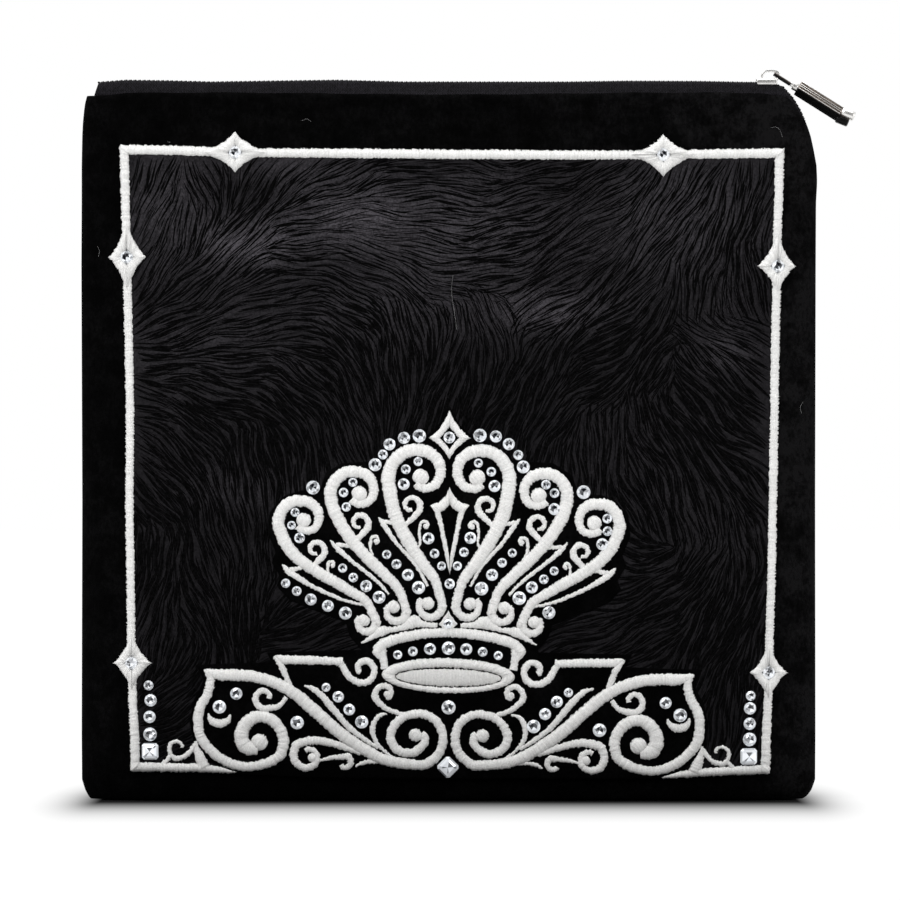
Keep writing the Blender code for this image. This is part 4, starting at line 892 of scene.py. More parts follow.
class Sewn:
    """Bands of satin stitch that are joined as one piece of sewing."""

    def __init__(self, name, seed):
        self.name = name
        self.points = []
        self.faces = []
        self.marks = []
        self.chance = random.Random(seed)
        self.sewn_on = 0.0

    def laid_out(self, left, right):
        """The rails in millimetres, a row for each half stitch along their middle."""
        rows = [(Vector(a), Vector(b)) for a, b in zip(left, right)]
        gone = [0.0]
        for (a, b), (c, d) in zip(rows, rows[1:]):
            gone.append(gone[-1] + max(0.5 * ((c - a).length + (d - b).length),
                                       0.3 * max((c - a).length, (d - b).length)))
        count = max(4, round(gone[-1] / (0.5 * THREAD)))
        made = []
        at = 0
        for k in range(count + 1):
            where = gone[-1] * k / count
            while at < len(gone) - 2 and gone[at + 1] < where:
                at += 1
            share = (where - gone[at]) / max(1e-9, gone[at + 1] - gone[at])
            made.append((rows[at][0].lerp(rows[at + 1][0], share),
                         rows[at][1].lerp(rows[at + 1][1], share), where))
        return made

    def band(self, left, right, side=-1, low=STITCH_LOW, full=1.0, closed=False, flat=0.0):
        """Stitches laid side by side from rail to rail over padding."""
        left = [chart(c, r, side) for c, r in left]
        right = [chart(c, r, side) for c, r in right]
        if closed:
            left, right = left + left[:1], right + right[:1]
        rows = self.laid_out(left, right)
        if closed:
            rows = rows[:-1]
        start = len(self.points)
        width = len(ACROSS)
        over = (0.0, 0.0)
        thick = 1.0
        for k, (a, b, where) in enumerate(rows):
            crest = k % 2 == 0
            if crest:
                over = (self.chance.uniform(-0.3, 1.0) * FRAY, self.chance.uniform(-0.3, 1.0) * FRAY)
                thick = self.chance.uniform(0.88, 1.08)
            half = 0.5 * (b - a).length
            into = (b - a) / max(1e-6, 2.0 * half)
            rise = full * (0.42 + 0.40 * min(half, 2.9)) * (1.0 - flat)
            thread = 0.055 if crest else -0.055
            pulled = 0.0 if crest else 0.12
            for share in ACROSS:
                edge = (over[1] - pulled) if share > 0 else (over[0] - pulled)
                spot = (a + b) / 2.0 + into * share * (half + edge * abs(share) ** 3)
                dome = sqrt(max(0.0, 1.0 - abs(share) ** 2.5))
                lift = low + rise * dome * thick + thread * (0.35 + 0.65 * dome)
                self.points.append(on_front(spot.x, spot.y, lift))
                self.marks.append((share * half * 0.5, self.sewn_on + where))
        self.sewn_on += rows[-1][2] + 4.0 * THREAD
        count = len(rows)
        for k in range(count if closed else count - 1):
            i, j = start + k * width, start + ((k + 1) % count) * width
            for c in range(width):
                n = (c + 1) % width
                self.faces.append((i + c, i + n, j + n, j + c))
        if not closed:
            self.faces.append(tuple(range(start + width - 1, start - 1, -1)))
            last = start + (count - 1) * width
            self.faces.append(tuple(range(last, last + width)))

    def line(self, stations, side=-1, low=STITCH_LOW, full=1.0, straight=False):
        curve = with_corners(stations) if straight else curve_through(stations)
        self.band(*rails(curve), side=side, low=low, full=full)

    def disc(self, column, row, radius, side=-1, full=1.0):
        """The round end of a scroll, filled with stitches side by side."""
        left, right = [], []
        ahead = Vector((cos(DISC_LEAN), sin(DISC_LEAN)))
        aside = Vector((-ahead.y, ahead.x))
        for k in range(17):
            angle = radians(lerp(10.0, 170.0, k / 16.0))
            along, out = -radius * cos(angle), radius * sin(angle)
            middle = Vector((column, row)) + ahead * along
            left.append(tuple(middle - aside * out))
            right.append(tuple(middle + aside * out))
        self.band(left, right, side=side, full=full)

    def diamond(self, centre, up, down, left, right, hole, waist, low=STITCH_LOW, full=1.0):
        """A four-pointed star with hollow sides round a diamond, an arm's half at a time."""
        column, row = centre
        tips = ((0.0, -up), (right, 0.0), (0.0, down), (-left, 0.0))
        across, tall = hole
        inner = ((0.0, -tall), (across, 0.0), (0.0, tall), (-across, 0.0))
        ends = zip(tips, tips[1:] + tips[:1], inner, inner[1:] + inner[:1])
        for (x0, y0), (x1, y1), (u0, v0), (u1, v1) in ends:
            hollow = ((x0 + x1) * waist[0], (y0 + y1) * waist[1])
            outside, inside = [], []
            for k in range(21):
                t = k / 20.0
                place = [(1 - t) ** 2 * p + 2 * t * (1 - t) * q + t * t * s
                         for p, q, s in zip((x0, y0), hollow, (x1, y1))]
                outside.append((column + place[0], row + place[1]))
                inside.append((column + lerp(u0, u1, t), row + lerp(v0, v1, t)))
            self.band(outside, inside, low=low, full=full)

    def done(self, nodes, finish=WHITE_THREAD):
        made = piece_of(self.name, self.points, self.faces, self.marks)
        settle(made, finish, nodes)


# The crown's plumes: each row gives one plume of the left half.
PLUMES = {
    # head centre, radii right, top, left; half widths; ball; stem; foot
    1: dict(head=(421.0, 474.0), radii=(17.5, 24.0, 34.0), halves=(4.6, 6.4, 7.0),
            ball=(420.8, 477.0, 8.2),
            stem=((395.0, 514.0, 6.9), (409.0, 542.5, 6.6), (424.0, 565.0, 6.0),
                  (435.0, 580.0, 5.0)),
            foot=(430.3, 605.6, 12.0), foot_ball=(428.0, 603.2, 6.4),
            curl=(411.2, 505.3, 9.0), curl_end=(405.0, 524.5),
            tendril=(424.9, 525.0, 4.6), tendril_tail=((419.2, 533.0), (420.2, 542.0), (417.0, 551.0)),
            thorn=((378.4, 517.2, 0.6), (384.2, 525.0, 2.6), (396.6, 543.0, 1.9),
                   (410.0, 557.5, 1.8), (420.0, 571.5, 1.6), (427.5, 586.0, 1.2)),
            spur=((382.5, 521.2, 2.2), (396.0, 523.6, 1.8))),
    2: dict(head=(356.5, 490.0), radii=(17.0, 18.2, 27.0), halves=(4.4, 5.9, 6.4),
            ball=(359.4, 493.6, 7.8),
            stem=((335.6, 513.6, 6.6), (348.0, 535.0, 6.3), (364.6, 554.6, 6.0),
                  (384.0, 573.4, 5.6), (398.5, 589.0, 4.9)),
            foot=(396.2, 611.3, 10.2), foot_ball=(393.6, 606.6, 6.4),
            curl=(359.6, 522.6, 8.9), curl_end=(354.0, 543.0),
            tendril=(375.3, 540.0, 4.4), tendril_tail=((370.2, 547.0), (372.6, 555.0), (372.0, 562.5)),
            thorn=((330.6, 540.0, 0.6), (337.6, 548.4, 2.6), (354.0, 562.6, 1.9),
                   (369.0, 574.2, 1.8), (381.5, 585.5, 1.6), (389.0, 594.0, 1.2)),
            spur=((336.0, 544.6, 2.2), (352.0, 545.6, 1.8))),
    3: dict(head=(302.6, 517.0), radii=(16.8, 16.0, 25.0), halves=(4.1, 5.7, 6.2),
            ball=(303.8, 520.0, 7.3),
            stem=((285.8, 543.0, 6.2), (297.4, 557.2, 6.0), (315.0, 570.2, 5.8),
                  (334.0, 581.0, 5.4), (351.8, 591.8, 5.0), (366.4, 601.4, 4.6)),
            foot=(366.6, 622.4, 9.6), foot_ball=(364.0, 620.2, 6.2),
            curl=(316.2, 549.3, 8.6), curl_end=(312.0, 568.5),
            tendril=(331.6, 564.2, 3.4), tendril_tail=((327.8, 569.5), (329.0, 575.0), (330.0, 580.0)),
            thorn=((282.6, 564.2, 0.6), (290.5, 572.6, 3.2), (311.1, 585.2, 2.2),
                   (330.0, 594.2, 1.9), (346.0, 600.6, 1.6), (364.0, 604.6, 1.2)),
            spur=((290.0, 570.2, 2.6), (304.0, 567.0, 2.0))),
}


def sewn_plume(label, number, side):
    p = PLUMES[number]
    name = f"plume_{label}_{number}"
    sewn = Sewn(name + "_stitches", 20 + number + (10 if side > 0 else 0))
    column, row = p["head"]
    right, top, left = p["radii"]
    narrow, wide, stem_half = p["halves"]
    main = turn(column, row, (right * 0.60, right), -118.0, -40.0, (narrow - 0.2, narrow))
    main += turn(column, row, (right, top), -40.0, 95.0, (narrow, wide))[1:]
    main += turn(column, row, (top, left), 95.0, 200.0, (wide, stem_half))[1:]
    main += p["stem"]
    foot_column, foot_row, foot_radius = p["foot"]
    main += turn(foot_column, foot_row, (foot_radius, foot_radius * 0.90), 8.0, -220.0, (4.4, 3.2))
    sewn.line(main, side)
    sewn.disc(*p["ball"], side, full=0.95)
    sewn.disc(*p["foot_ball"], side, full=0.95)
    column, row, reach = p["curl"]
    curl = turn(column, row, (reach * 0.50, reach * 1.08), 285.0, -40.0, (1.7, 3.3))
    curl += [(column + 0.10 * reach, row + 1.48 * reach, 2.9), (*p["curl_end"], 2.2)]
    sewn.line(curl, side, full=0.9)
    column, row, reach = p["tendril"]
    tendril = turn(column, row, (reach * 0.5, reach), -90.0, 185.0, (1.9, 1.5))
    tendril += [(c, r, half) for (c, r), half in zip(p["tendril_tail"], (1.3, 1.1, 0.8))]
    sewn.line(tendril, side, full=0.8)
    sewn.disc(column + 0.8, row + 0.9, reach * 0.56, side, full=0.8)
    sewn.line(p["thorn"], side, full=0.85)
    sewn.line(p["spur"], side, full=0.8, straight=True)
    sewn.done([name])


def sewn_circlet():
    """The crown's middle: finial, long lozenge, rolled band, fillets, rim and its filled oval."""
    finial = Sewn("finial_stitches", 41)
    finial.diamond((449.4, 438.0), 28.0, 21.5, 21.0, 21.4, (9.4, 11.0), waist=(0.33, 0.33))
    finial.done(["crown_finial"])

    lozenge = Sewn("lozenge_stitches", 42)
    outer = ((0.0, -19.0), (4.0, -10.5), (9.5, -4.5), (19.6, -0.5), (15.0, 6.0), (12.0, 16.0),
             (9.0, 28.0), (6.2, 42.0), (3.2, 56.0), (0.0, 68.0))
    inner = ((0.0, -1.8), (1.8, 1.2), (4.6, 3.6), (8.8, 5.6), (8.4, 9.0), (6.8, 16.0),
             (4.8, 27.0), (2.6, 38.0), (1.0, 46.0), (0.3, 52.0))
    for half in (-1.0, 1.0):
        lozenge.band([(449.7 + half * x, 506.0 + y) for x, y in outer],
                     [(449.7 + half * x, 506.0 + y) for x, y in inner], full=0.9)
    lozenge.done(["crown_lozenge"])

    band = Sewn("circlet_stitches", 43)
    roll = [(380.6, 658.0, 2.0), (377.8, 650.5, 5.2), (384.5, 643.0, 5.4), (400.5, 637.6, 5.0),
            (420.0, 634.0, 5.0), (436.0, 632.6, 4.8)]
    mirrored = [(2.0 * AXIS_COLUMN - c, r + RIGHT_DROP * abs(c - AXIS_COLUMN), half)
                for c, r, half in reversed(roll)]
    band.line(roll + [(449.0, 632.2, 4.6)] + mirrored)
    post = [(383.4, 646.0, 3.2), (382.6, 656.0, 4.2), (385.0, 668.6, 3.6)]
    for side in (-1, 1):
        band.line(post, side, full=0.85, straight=True)
    band.diamond((448.2, 623.6), 13.0, 13.6, 9.4, 9.4, (4.4, 5.8), low=STITCH_LOW + 0.3,
                 full=0.95, waist=(0.42, 0.42))
    band.done(["crown_band"])

    fillet = [(361.5, 643.0, 0.8), (368.0, 639.4, 2.0), (375.0, 634.6, 3.6), (381.0, 631.0, 5.4),
              (388.0, 629.6, 3.6), (397.0, 628.6, 2.4), (406.0, 625.6, 4.0), (414.0, 621.8, 6.8),
              (421.0, 623.4, 4.0), (430.0, 624.8, 2.6), (437.5, 625.2, 2.2)]
    for side, label in ((-1, "left"), (1, "right")):
        sewn = Sewn(f"fillet_{label}_stitches", 44 + side)
        sewn.line(fillet, side, full=0.85)
        sewn.done([f"crown_scallop_{label}"])

    rim = Sewn("rim_stitches", 47)
    outer = ellipse(448.4, 675.4, 66.6, 17.6, 72, 0.02)
    inner = ellipse(448.4, 677.2, 53.6, 9.9, 72, 0.02)
    rim.band(outer, inner, closed=True, full=1.05)
    rim.done(["crown_ring"])

    fill = Sewn("oval_stitches", 48)
    left, right = [], []
    for k in range(41):
        angle = radians(lerp(6.0, 174.0, k / 40.0))
        column = 448.4 - 52.6 * cos(angle)
        tilt = 0.02 * (column - 448.4)
        left.append((column, 677.2 - 9.1 * sin(angle) + tilt))
        right.append((column, 677.2 + 9.1 * sin(angle) + tilt))
    fill.band(left, right, flat=0.45)
    fill.done(["ring_fill"], GREY_THREAD)


def ellipse(column, row, across, tall, count, tilt):
    return [(column + across * cos(2 * pi * k / count),
             row - tall * sin(2 * pi * k / count) + tilt * across * cos(2 * pi * k / count))
            for k in range(count)]


SPIRAL_CENTRE = (416.6, 737.0)
SPIRAL_TURNS = (
    # radii, first and last angle, half widths
    ((28.4, 26.4), -80.0, 0.0, (5.0, 4.4)), ((26.0, 23.4), 22.0, 90.0, (4.4, 4.2)),
    ((23.6, 26.2), 112.0, 180.0, (4.2, 4.4)), ((24.0, 13.6), 205.0, 270.0, (4.4, 4.4)),
    ((10.6, 5.6), 300.0, 395.0, (4.2, 4.2)),
)


def sewn_base(label, side):
    """Shell, long stem and spiral of the base, with the scrolls that spring from them."""
    far = 10 if side > 0 else 0
    scroll = Sewn(f"base_scroll_{label}_stitches", 60 + far)
    top = [(206.0, 671.6, 3.2), (220.0, 674.6, 5.6), (236.0, 675.0, 5.8), (255.0, 676.6, 5.8),
           (276.0, 683.0, 5.8), (296.0, 694.4, 6.0), (318.5, 713.9, 6.2), (342.7, 734.9, 6.2),
           (366.9, 751.0, 6.0), (389.0, 761.0, 5.6)]
    for turned in SPIRAL_TURNS:
        top += turn(*SPIRAL_CENTRE, *turned)
    scroll.line(top, side)
    shell = [(204.6, 669.2, 1.0), (210.6, 679.0, 4.0), (207.6, 694.0, 4.6), (200.6, 706.3, 5.0),
             (198.4, 721.6, 5.0), (201.6, 738.5, 5.0), (214.4, 753.6, 4.8), (231.0, 763.6, 4.8),
             (247.6, 766.6, 4.6), (266.0, 763.4, 5.0)]
    shell += turn(258.2, 741.4, (25.4, 25.4), -35.0, 70.0, (5.2, 5.8))
    shell += turn(258.2, 741.4, (25.0, 13.6), 92.0, 200.0, (6.2, 7.6))
    shell += [(250.4, 748.6, 7.0), (258.0, 749.4, 4.6)]
    scroll.line(shell, side)
    scroll.disc(259.6, 741.8, 8.4, side)
    scroll.disc(415.4, 734.8, 6.6, side)
    small = turn(264.5, 697.6, (5.0, 11.2), -10.0, 290.0, (2.4, 3.5))
    small += [(279.5, 705.5, 2.6), (286.5, 697.0, 2.2)]
    scroll.line(small, side, full=0.85)
    scroll.disc(312.6, 757.6, 4.8, side, full=0.9)
    under = turn(307.8, 756.0, (6.0, 15.6), 115.0, -235.0, (2.6, 4.4))
    under += [(315.0, 740.2, 4.2), (333.0, 743.4, 3.6), (361.0, 752.6, 2.6)]
    scroll.line(under, side, full=0.95)
    comma = [(318.0, 761.0, 1.2), (331.0, 757.6, 2.0), (342.0, 756.8, 2.8)]
    comma += turn(344.8, 762.4, (6.6, 4.4), 70.0, -150.0, (3.4, 2.4))
    scroll.line(comma, side, full=0.8)
    leaf = [(355.6, 766.6, 0.8), (363.0, 762.6, 2.0), (374.0, 761.6, 2.0), (388.0, 762.4, 1.6)]
    scroll.line(leaf, side, full=0.8)
    scroll.disc(387.4, 694.2, 3.8, side, full=0.85)
    upper = turn(385.4, 693.6, (3.8, 10.6), -80.0, 190.0, (2.2, 3.4))
    upper += [(378.6, 702.0, 3.0), (388.0, 709.0, 2.6), (404.0, 715.0, 2.2)]
    scroll.line(upper, side, full=0.85)
    scroll.done([f"base_scroll_{label}"])

    leaves = Sewn(f"base_leaf_{label}_stitches", 61 + far)
    leaves.line([(304.4, 685.6, 0.8), (313.0, 688.4, 2.6), (323.0, 696.6, 3.4), (333.5, 709.0, 3.4),
                 (349.2, 727.0, 2.8), (366.0, 740.0, 2.2), (378.5, 747.4, 1.6)], side, full=0.9)
    leaves.line([(387.0, 713.4, 0.8), (378.0, 716.6, 2.2), (373.0, 726.0, 2.8), (373.6, 736.0, 2.4),
                 (379.6, 746.2, 1.8), (391.0, 756.0, 1.2), (403.0, 761.0, 0.9)], side, full=0.85)
    leaves.done([f"base_leaf_{label}"])

    bracket = Sewn(f"base_bracket_{label}_stitches", 62 + far)
    bracket.line([(276.0, 655.6, 1.0), (283.0, 659.4, 4.4), (312.0, 660.0, 4.2),
                  (343.0, 661.4, 4.0)], side, straight=True)
    hook = [(339.5, 660.6, 2.8), (343.0, 666.4, 3.2), (349.0, 676.4, 3.4)]
    hook += turn(363.7, 669.3, (15.0, 9.9), -150.0, 20.0, (3.4, 3.3))[1:]
    hook += turn(363.7, 669.3, (9.6, 4.2), 50.0, 225.0, (3.4, 2.8))
    bracket.line(hook, side, full=0.95)
    bracket.line([(274.2, 656.0, 1.4), (282.0, 666.0, 3.4), (287.2, 678.0, 2.8), (291.0, 689.0, 2.4)],
                 side, full=0.85, straight=True)
    bracket.done([f"base_bracket_{label}"])

    moon = Sewn(f"base_crescent_{label}_stitches", 63 + far)
    moon.line([(208.6, 713.0, 0.8), (210.8, 719.6, 3.0), (219.0, 723.6, 4.4), (227.4, 720.4, 3.2),
               (230.8, 714.4, 0.8)], side, full=0.85)
    moon.done([f"base_crescent_{label}"])


FRAME_STARS = (
    # name, centre, up, down, left, right
    ("top_left", (234.7, 151.8), 21.0, 20.6, 34.0, 33.0),
    ("top_right", (663.9, 154.2), 20.6, 22.5, 34.0, 34.0),
    ("side_left", (126.2, 256.8), 36.0, 34.0, 18.6, 20.1),
    ("side_right", (778.2, 265.8), 34.0, 28.0, 21.1, 18.1),
    ("foot_left", (131.5, 663.0), 30.0, 28.0, 18.5, 20.5),
    ("foot_right", (768.8, 672.8), 30.0, 28.0, 19.4, 19.2),
)
FRAME_LINES = (
    # runs of the band between the stars, as column, row and half width
    ((126.0, 245.0, 4.4), (124.6, 185.0, 4.6), (123.6, 149.2, 4.9), (172.0, 149.8, 4.9),
     (222.0, 151.6, 4.4)),
    ((247.0, 152.2, 4.4), (330.0, 152.8, 4.8), (450.0, 153.8, 4.8), (560.0, 154.6, 4.8),
     (652.0, 154.4, 4.4)),
    ((676.0, 154.0, 4.4), (720.0, 153.4, 4.9), (774.0, 152.7, 4.9), (780.0, 152.6, 4.9), (779.4, 190.0, 4.6),
     (777.0, 252.0, 4.4)),
    ((126.8, 270.0, 4.4), (128.2, 330.0, 4.4), (129.8, 410.0, 4.3), (129.4, 500.0, 4.3),
     (130.8, 580.0, 4.3), (131.4, 650.0, 4.4)),
    ((777.0, 280.0, 4.4), (775.6, 340.0, 4.4), (774.6, 410.0, 4.3), (772.8, 500.0, 4.3),
     (771.2, 580.0, 4.3), (768.8, 660.0, 4.4)),
    ((131.8, 676.0, 4.4), (133.0, 705.0, 4.4), (134.8, 740.0, 4.8), (135.2, 767.0, 4.9),
     (160.0, 767.2, 4.7), (202.0, 767.9, 4.4), (222.0, 769.8, 3.2), (236.0, 772.0, 1.2)),
    ((768.8, 686.0, 4.4), (767.6, 710.0, 4.4), (766.2, 740.0, 4.8), (765.6, 769.6, 4.9),
     (738.0, 770.6, 4.7), (696.0, 772.8, 4.4), (676.0, 775.2, 3.2), (662.0, 777.2, 1.2)),
)


def sewn_frame():
    """White band with six four-pointed stars, and the curls in its lower corners."""
    sewn = Sewn("frame_stitches", 80)
    for line in FRAME_LINES:
        sewn.line(line, low=0.35, full=1.55, straight=True)
    for _, centre, up, down, left, right in FRAME_STARS:
        slender = (0.40, 0.27) if up > left else (0.27, 0.40)
        sewn.diamond(centre, up, down, left, right, (6.6, 6.6), low=0.5, full=1.5, waist=slender)
    for side in (-1, 1):
        curl = turn(177.6, 748.0, (4.6, 10.4), 5.0, 265.0, (1.2, 2.4))
        curl += [(186.0, 755.6, 2.2), (192.4, 748.6, 2.4), (195.8, 741.6, 0.8)]
        sewn.line(curl, side, full=0.85)
        sewn.line([(195.9, 741.0, 0.7), (197.6, 751.0, 3.6), (201.0, 760.4, 5.6),
                   (204.0, 767.0, 5.6)], side, full=0.85)
        sewn.line([(170.4, 756.0, 1.8), (163.0, 765.0, 2.6)], side, full=0.85, straight=True)
    sewn.done(["frame_border"])


# Stones

SMALL_STONES = (
    # left half: column, row, radius
    (403.8, 484.2, 5.6), (405.9, 469.3, 4.6), (418.2, 461.6, 4.3),
    (346.4, 506.9, 4.4), (343.7, 492.5, 4.5), (353.0, 482.3, 4.3),
    (299.8, 537.8, 5.0), (291.8, 525.2, 4.1), (295.3, 512.2, 4.2),
    (428.5, 538.3, 5.6), (434.6, 553.4, 4.5), (441.6, 565.8, 4.2),
    (386.8, 554.3, 4.3), (396.5, 563.9, 4.7), (408.0, 574.7, 5.6), (418.6, 587.4, 6.2),
    (342.8, 567.9, 4.3), (353.4, 577.3, 4.5), (366.3, 585.8, 5.6), (379.2, 597.0, 6.0),
    (397.8, 654.4, 4.3), (412.9, 651.1, 4.6), (430.0, 648.6, 5.6),
    (236.5, 693.3, 5.8), (219.7, 706.6, 6.4), (297.3, 722.3, 6.4),
    (326.2, 687.0, 4.2), (338.4, 696.4, 5.4), (349.4, 709.2, 5.5), (361.8, 721.6, 6.2),
)
MIDDLE_STONES = ((449.4, 437.6, 5.6), (449.7, 583.6, 5.0), (448.5, 647.8, 6.4), (448.6, 707.0, 6.8))
MAIN_STONES = (
    # left half: column, row, radius, right column, right row
    ("outer_1", 313.2, 487.6, 6.4, 583.4, 492.2),
    ("outer_2", 375.2, 464.8, 6.0, 523.2, 467.0),
    ("outer_3", 383.0, 454.6, 4.6, 518.2, 455.1),
    ("outer_4", 389.6, 444.4, 5.6, 508.8, 444.2),
    ("outer_5", 404.0, 438.0, 5.6, 495.9, 436.6),
    ("outer_6", 419.4, 436.0, 6.2, 480.0, 435.6),
    ("corner_1", 148.8, 685.3, 4.6, 750.5, 695.8),
    ("corner_2", 150.9, 700.2, 5.8, 749.8, 708.3),
    ("corner_3", 149.8, 716.8, 5.8, 749.5, 723.7),
    ("corner_4", 150.2, 734.2, 6.4, 749.4, 739.4),
)
SQUARE_STONES = (("corner_5_left", 150.2, 751.4, 6.2, 0.0), ("corner_5_right", 748.6, 756.6, 6.2, 0.0),
                 ("foot", 447.9, 766.8, 8.0, 45.0))
BELOW_STONES = (("below_1", 285.9, 583.0, 4.3), ("below_2", 297.0, 590.8, 4.5),
                ("below_3", 311.0, 599.2, 5.5), ("below_4", 328.1, 605.6, 5.5),
                ("below_5", 345.6, 612.8, 6.0))
RIGHT_STONES = (
    # column, row and radius on the right half, as glued
    (494.5, 486.1, 6.0), (491.3, 471.8, 4.8), (478.4, 463.1, 4.5), (554.2, 509.1, 6.0),
    (554.4, 493.1, 4.8), (545.9, 484.6, 4.8), (602.0, 544.1, 6.0), (607.3, 531.1, 4.8),
    (607.0, 518.6, 4.8), (470.4, 537.8, 6.0), (463.9, 552.0, 4.8), (457.3, 565.8, 4.6),
    (512.2, 552.8, 4.5), (502.0, 562.6, 4.8), (492.0, 574.7, 6.0), (481.5, 588.4, 6.8),
    (554.0, 570.8, 4.5), (543.7, 579.1, 4.8), (531.7, 587.2, 6.0), (519.2, 597.9, 6.8),
    (466.3, 648.9, 6.0), (482.6, 651.5, 4.8), (498.2, 655.2, 4.5), (568.3, 692.3, 4.6),
    (556.7, 701.5, 6.0), (545.0, 713.7, 6.0), (533.6, 726.1, 6.8), (599.4, 729.9, 6.8),
    (665.4, 702.7, 6.0), (680.0, 715.0, 6.8),
)


# Painted reflections of the facets of a square stone, step by step and on its table.
STEP_LIGHTS = (0.35, 0.9, 0.75, 0.95, 0.55, 0.9, 0.95, 0.8)
TABLE_LIGHTS = (0.9, 0.2, 0.7, 0.95, 0.3, 0.85, 0.15, 0.8)


def ring(count, reach, height, turned):
    """Places round a stone at one reach and height."""
    return [(reach * cos(2.0 * pi * k / count + turned), reach * sin(2.0 * pi * k / count + turned),
             height) for k in range(count)]


class Stones:
    """Cut stones that are joined as one piece, with the painted reflection of each facet."""

    def __init__(self, name, seed):
        self.name = name
        self.points = []
        self.faces = []
        self.painted_facet_light = []
        self.chance = random.Random(seed)

    def facet(self, light, *corners):
        self.faces.append(tuple(self.start + c for c in corners))
        self.painted_facet_light.append(min(1.0, max(0.0, light + self.chance.uniform(-0.12, 0.12))))

    def lay(self, shape, x, z, low):
        """Set local points (right, up, out) on the front, square to the cloth there."""
        slope_x = (depth(x + 1.0, z) - depth(x - 1.0, z)) / 2.0
        slope_z = (depth(x, z + 1.0) - depth(x, z - 1.0)) / 2.0
        out = Vector((-slope_x, -1.0, -slope_z)).normalized()
        upward = (Vector((0.0, 0.0, 1.0)) - out * out.z).normalized()
        right = upward.cross(out) * -1.0
        base = on_front(x, z, low)
        self.start = len(self.points)
        self.points += [base + right * a + upward * b + out * c for a, b, c in shape]

    def round(self, column, row, radius, low=STONE_LOW):
        """A round stone: table, eight stars, eight kites, sixteen girdle facets and the foil."""
        size = radius * GRID
        turned = self.chance.uniform(0.0, pi / 4)
        shape = [(0.0, 0.0, 0.70 * size)]
        shape += ring(8, 0.56 * size, 0.70 * size, turned + pi / 8)
        shape += ring(8, 0.80 * size, 0.52 * size, turned)
        shape += ring(16, size, 0.24 * size, turned)
        shape += ring(16, 0.94 * size, 0.0, turned)
        self.lay(shape, *chart(column, row), low)
        # Each facet's light is a painted reflection: bright on the facets turned one way, mostly dark on the
        # others.
        for k in range(8):
            angle = k * pi / 4 + turned
            after = (k + 1) % 8
            below = sin(angle + 0.4)
            dark = 0.02 if self.chance.random() < 0.8 else 0.35
            self.facet(0.90 if below < -0.75 else dark, 0, 1 + (k - 1) % 8, 1 + k)
            self.facet(0.92 if below < -0.1 else 0.12 + 0.25 * self.chance.random(),
                       1 + (k - 1) % 8, 9 + k, 1 + k)
            self.facet(0.85 if self.chance.random() < 0.75 else 0.35,
                       1 + k, 9 + k, 17 + 2 * k + 1, 9 + after)
            self.facet(0.88, 9 + k, 17 + 2 * k, 18 + 2 * k)
            self.facet(0.88, 9 + k, 17 + (2 * k - 1) % 16, 17 + 2 * k)
        for k in range(16):
            n = (k + 1) % 16
            self.facet(0.8, 17 + k, 33 + k, 33 + n, 17 + n)
        self.facet(0.8, *[33 + k for k in range(16)])

    def squared(self, column, row, half, turned):
        """A square stone with cut corners: two rows of steps round a table."""
        size = half * GRID
        shape = []
        for reach, lift in ((1.0, 0.0), (1.0, 0.22), (0.78, 0.46), (0.52, 0.60)):
            for k in range(8):
                angle = pi / 4 + pi / 2 * (k // 2) + radians(9.0) * (2 * (k % 2) - 1) + turned
                far = reach * size / cos(pi / 4) * (0.96 if reach == 1.0 else 1.0)
                shape.append((far * cos(angle), far * sin(angle), lift * size))
        shape.append((0.0, 0.0, 0.60 * size))
        self.lay(shape, *chart(column, row), STONE_LOW)
        for level in range(3):
            for k in range(8):
                here, after = level * 8 + k, level * 8 + (k + 1) % 8
                self.facet(STEP_LIGHTS[(k + 3 * level) % 8], here, after, after + 8, here + 8)
        for k in range(8):
            self.facet(TABLE_LIGHTS[k], 32, 24 + k, 24 + (k + 1) % 8)
        self.facet(0.8, *range(8))

    def done(self, nodes):
        made = piece_of(self.name, self.points, self.faces, painted_facet_light=self.painted_facet_light, smoothed=False)
        settle(made, CRYSTAL, nodes)


def glued_stones():
    small = Stones("small_stones", 5)
    for column, row, radius in SMALL_STONES:
        small.round(column, row, radius * 1.06, low=PLAIN_TOP)
    for column, row, radius in RIGHT_STONES:
        small.round(column, row, radius, low=PLAIN_TOP)
    for column, row, radius in MIDDLE_STONES:
        small.round(column, row, radius * 1.04, low=PLAIN_TOP)
    small.done(["motif_ground"])

    stars = Stones("star_stones", 6)
    for _, centre, *_ in FRAME_STARS:
        stars.round(*centre, 6.4, low=0.75)
    stars.round(448.2, 623.4, 4.6, low=STITCH_LOW + 0.5)
    stars.done(["frame_border", "crown_band"])

    for number, (name, column, row, radius, right_column, right_row) in enumerate(MAIN_STONES):
        for label, place in (("left", (column, row)), ("right", (right_column, right_row))):
            one = Stones(f"cut_{name}_{label}", 100 + number * 2 + (label == "right"))
            one.round(*place, radius * 1.08)
            one.done([f"stone_{name}_{label}"])
    below = [(name + "_left", column, row, radius) for name, column, row, radius in BELOW_STONES]
    below.append(("below_5_right", 548.8, 612.4, 6.0))
    for number, (name, column, row, radius) in enumerate(below):
        one = Stones("cut_" + name, 140 + number)
        one.round(column, row, radius * 1.08)
        one.done(["stone_" + name])
    for number, (name, column, row, half, tilt) in enumerate(SQUARE_STONES):
        one = Stones("cut_" + name, 160 + number)
        one.squared(column, row, half * (0.98 if tilt else 1.22), radians(tilt))
        one.done(["stone_" + name])


# Zip

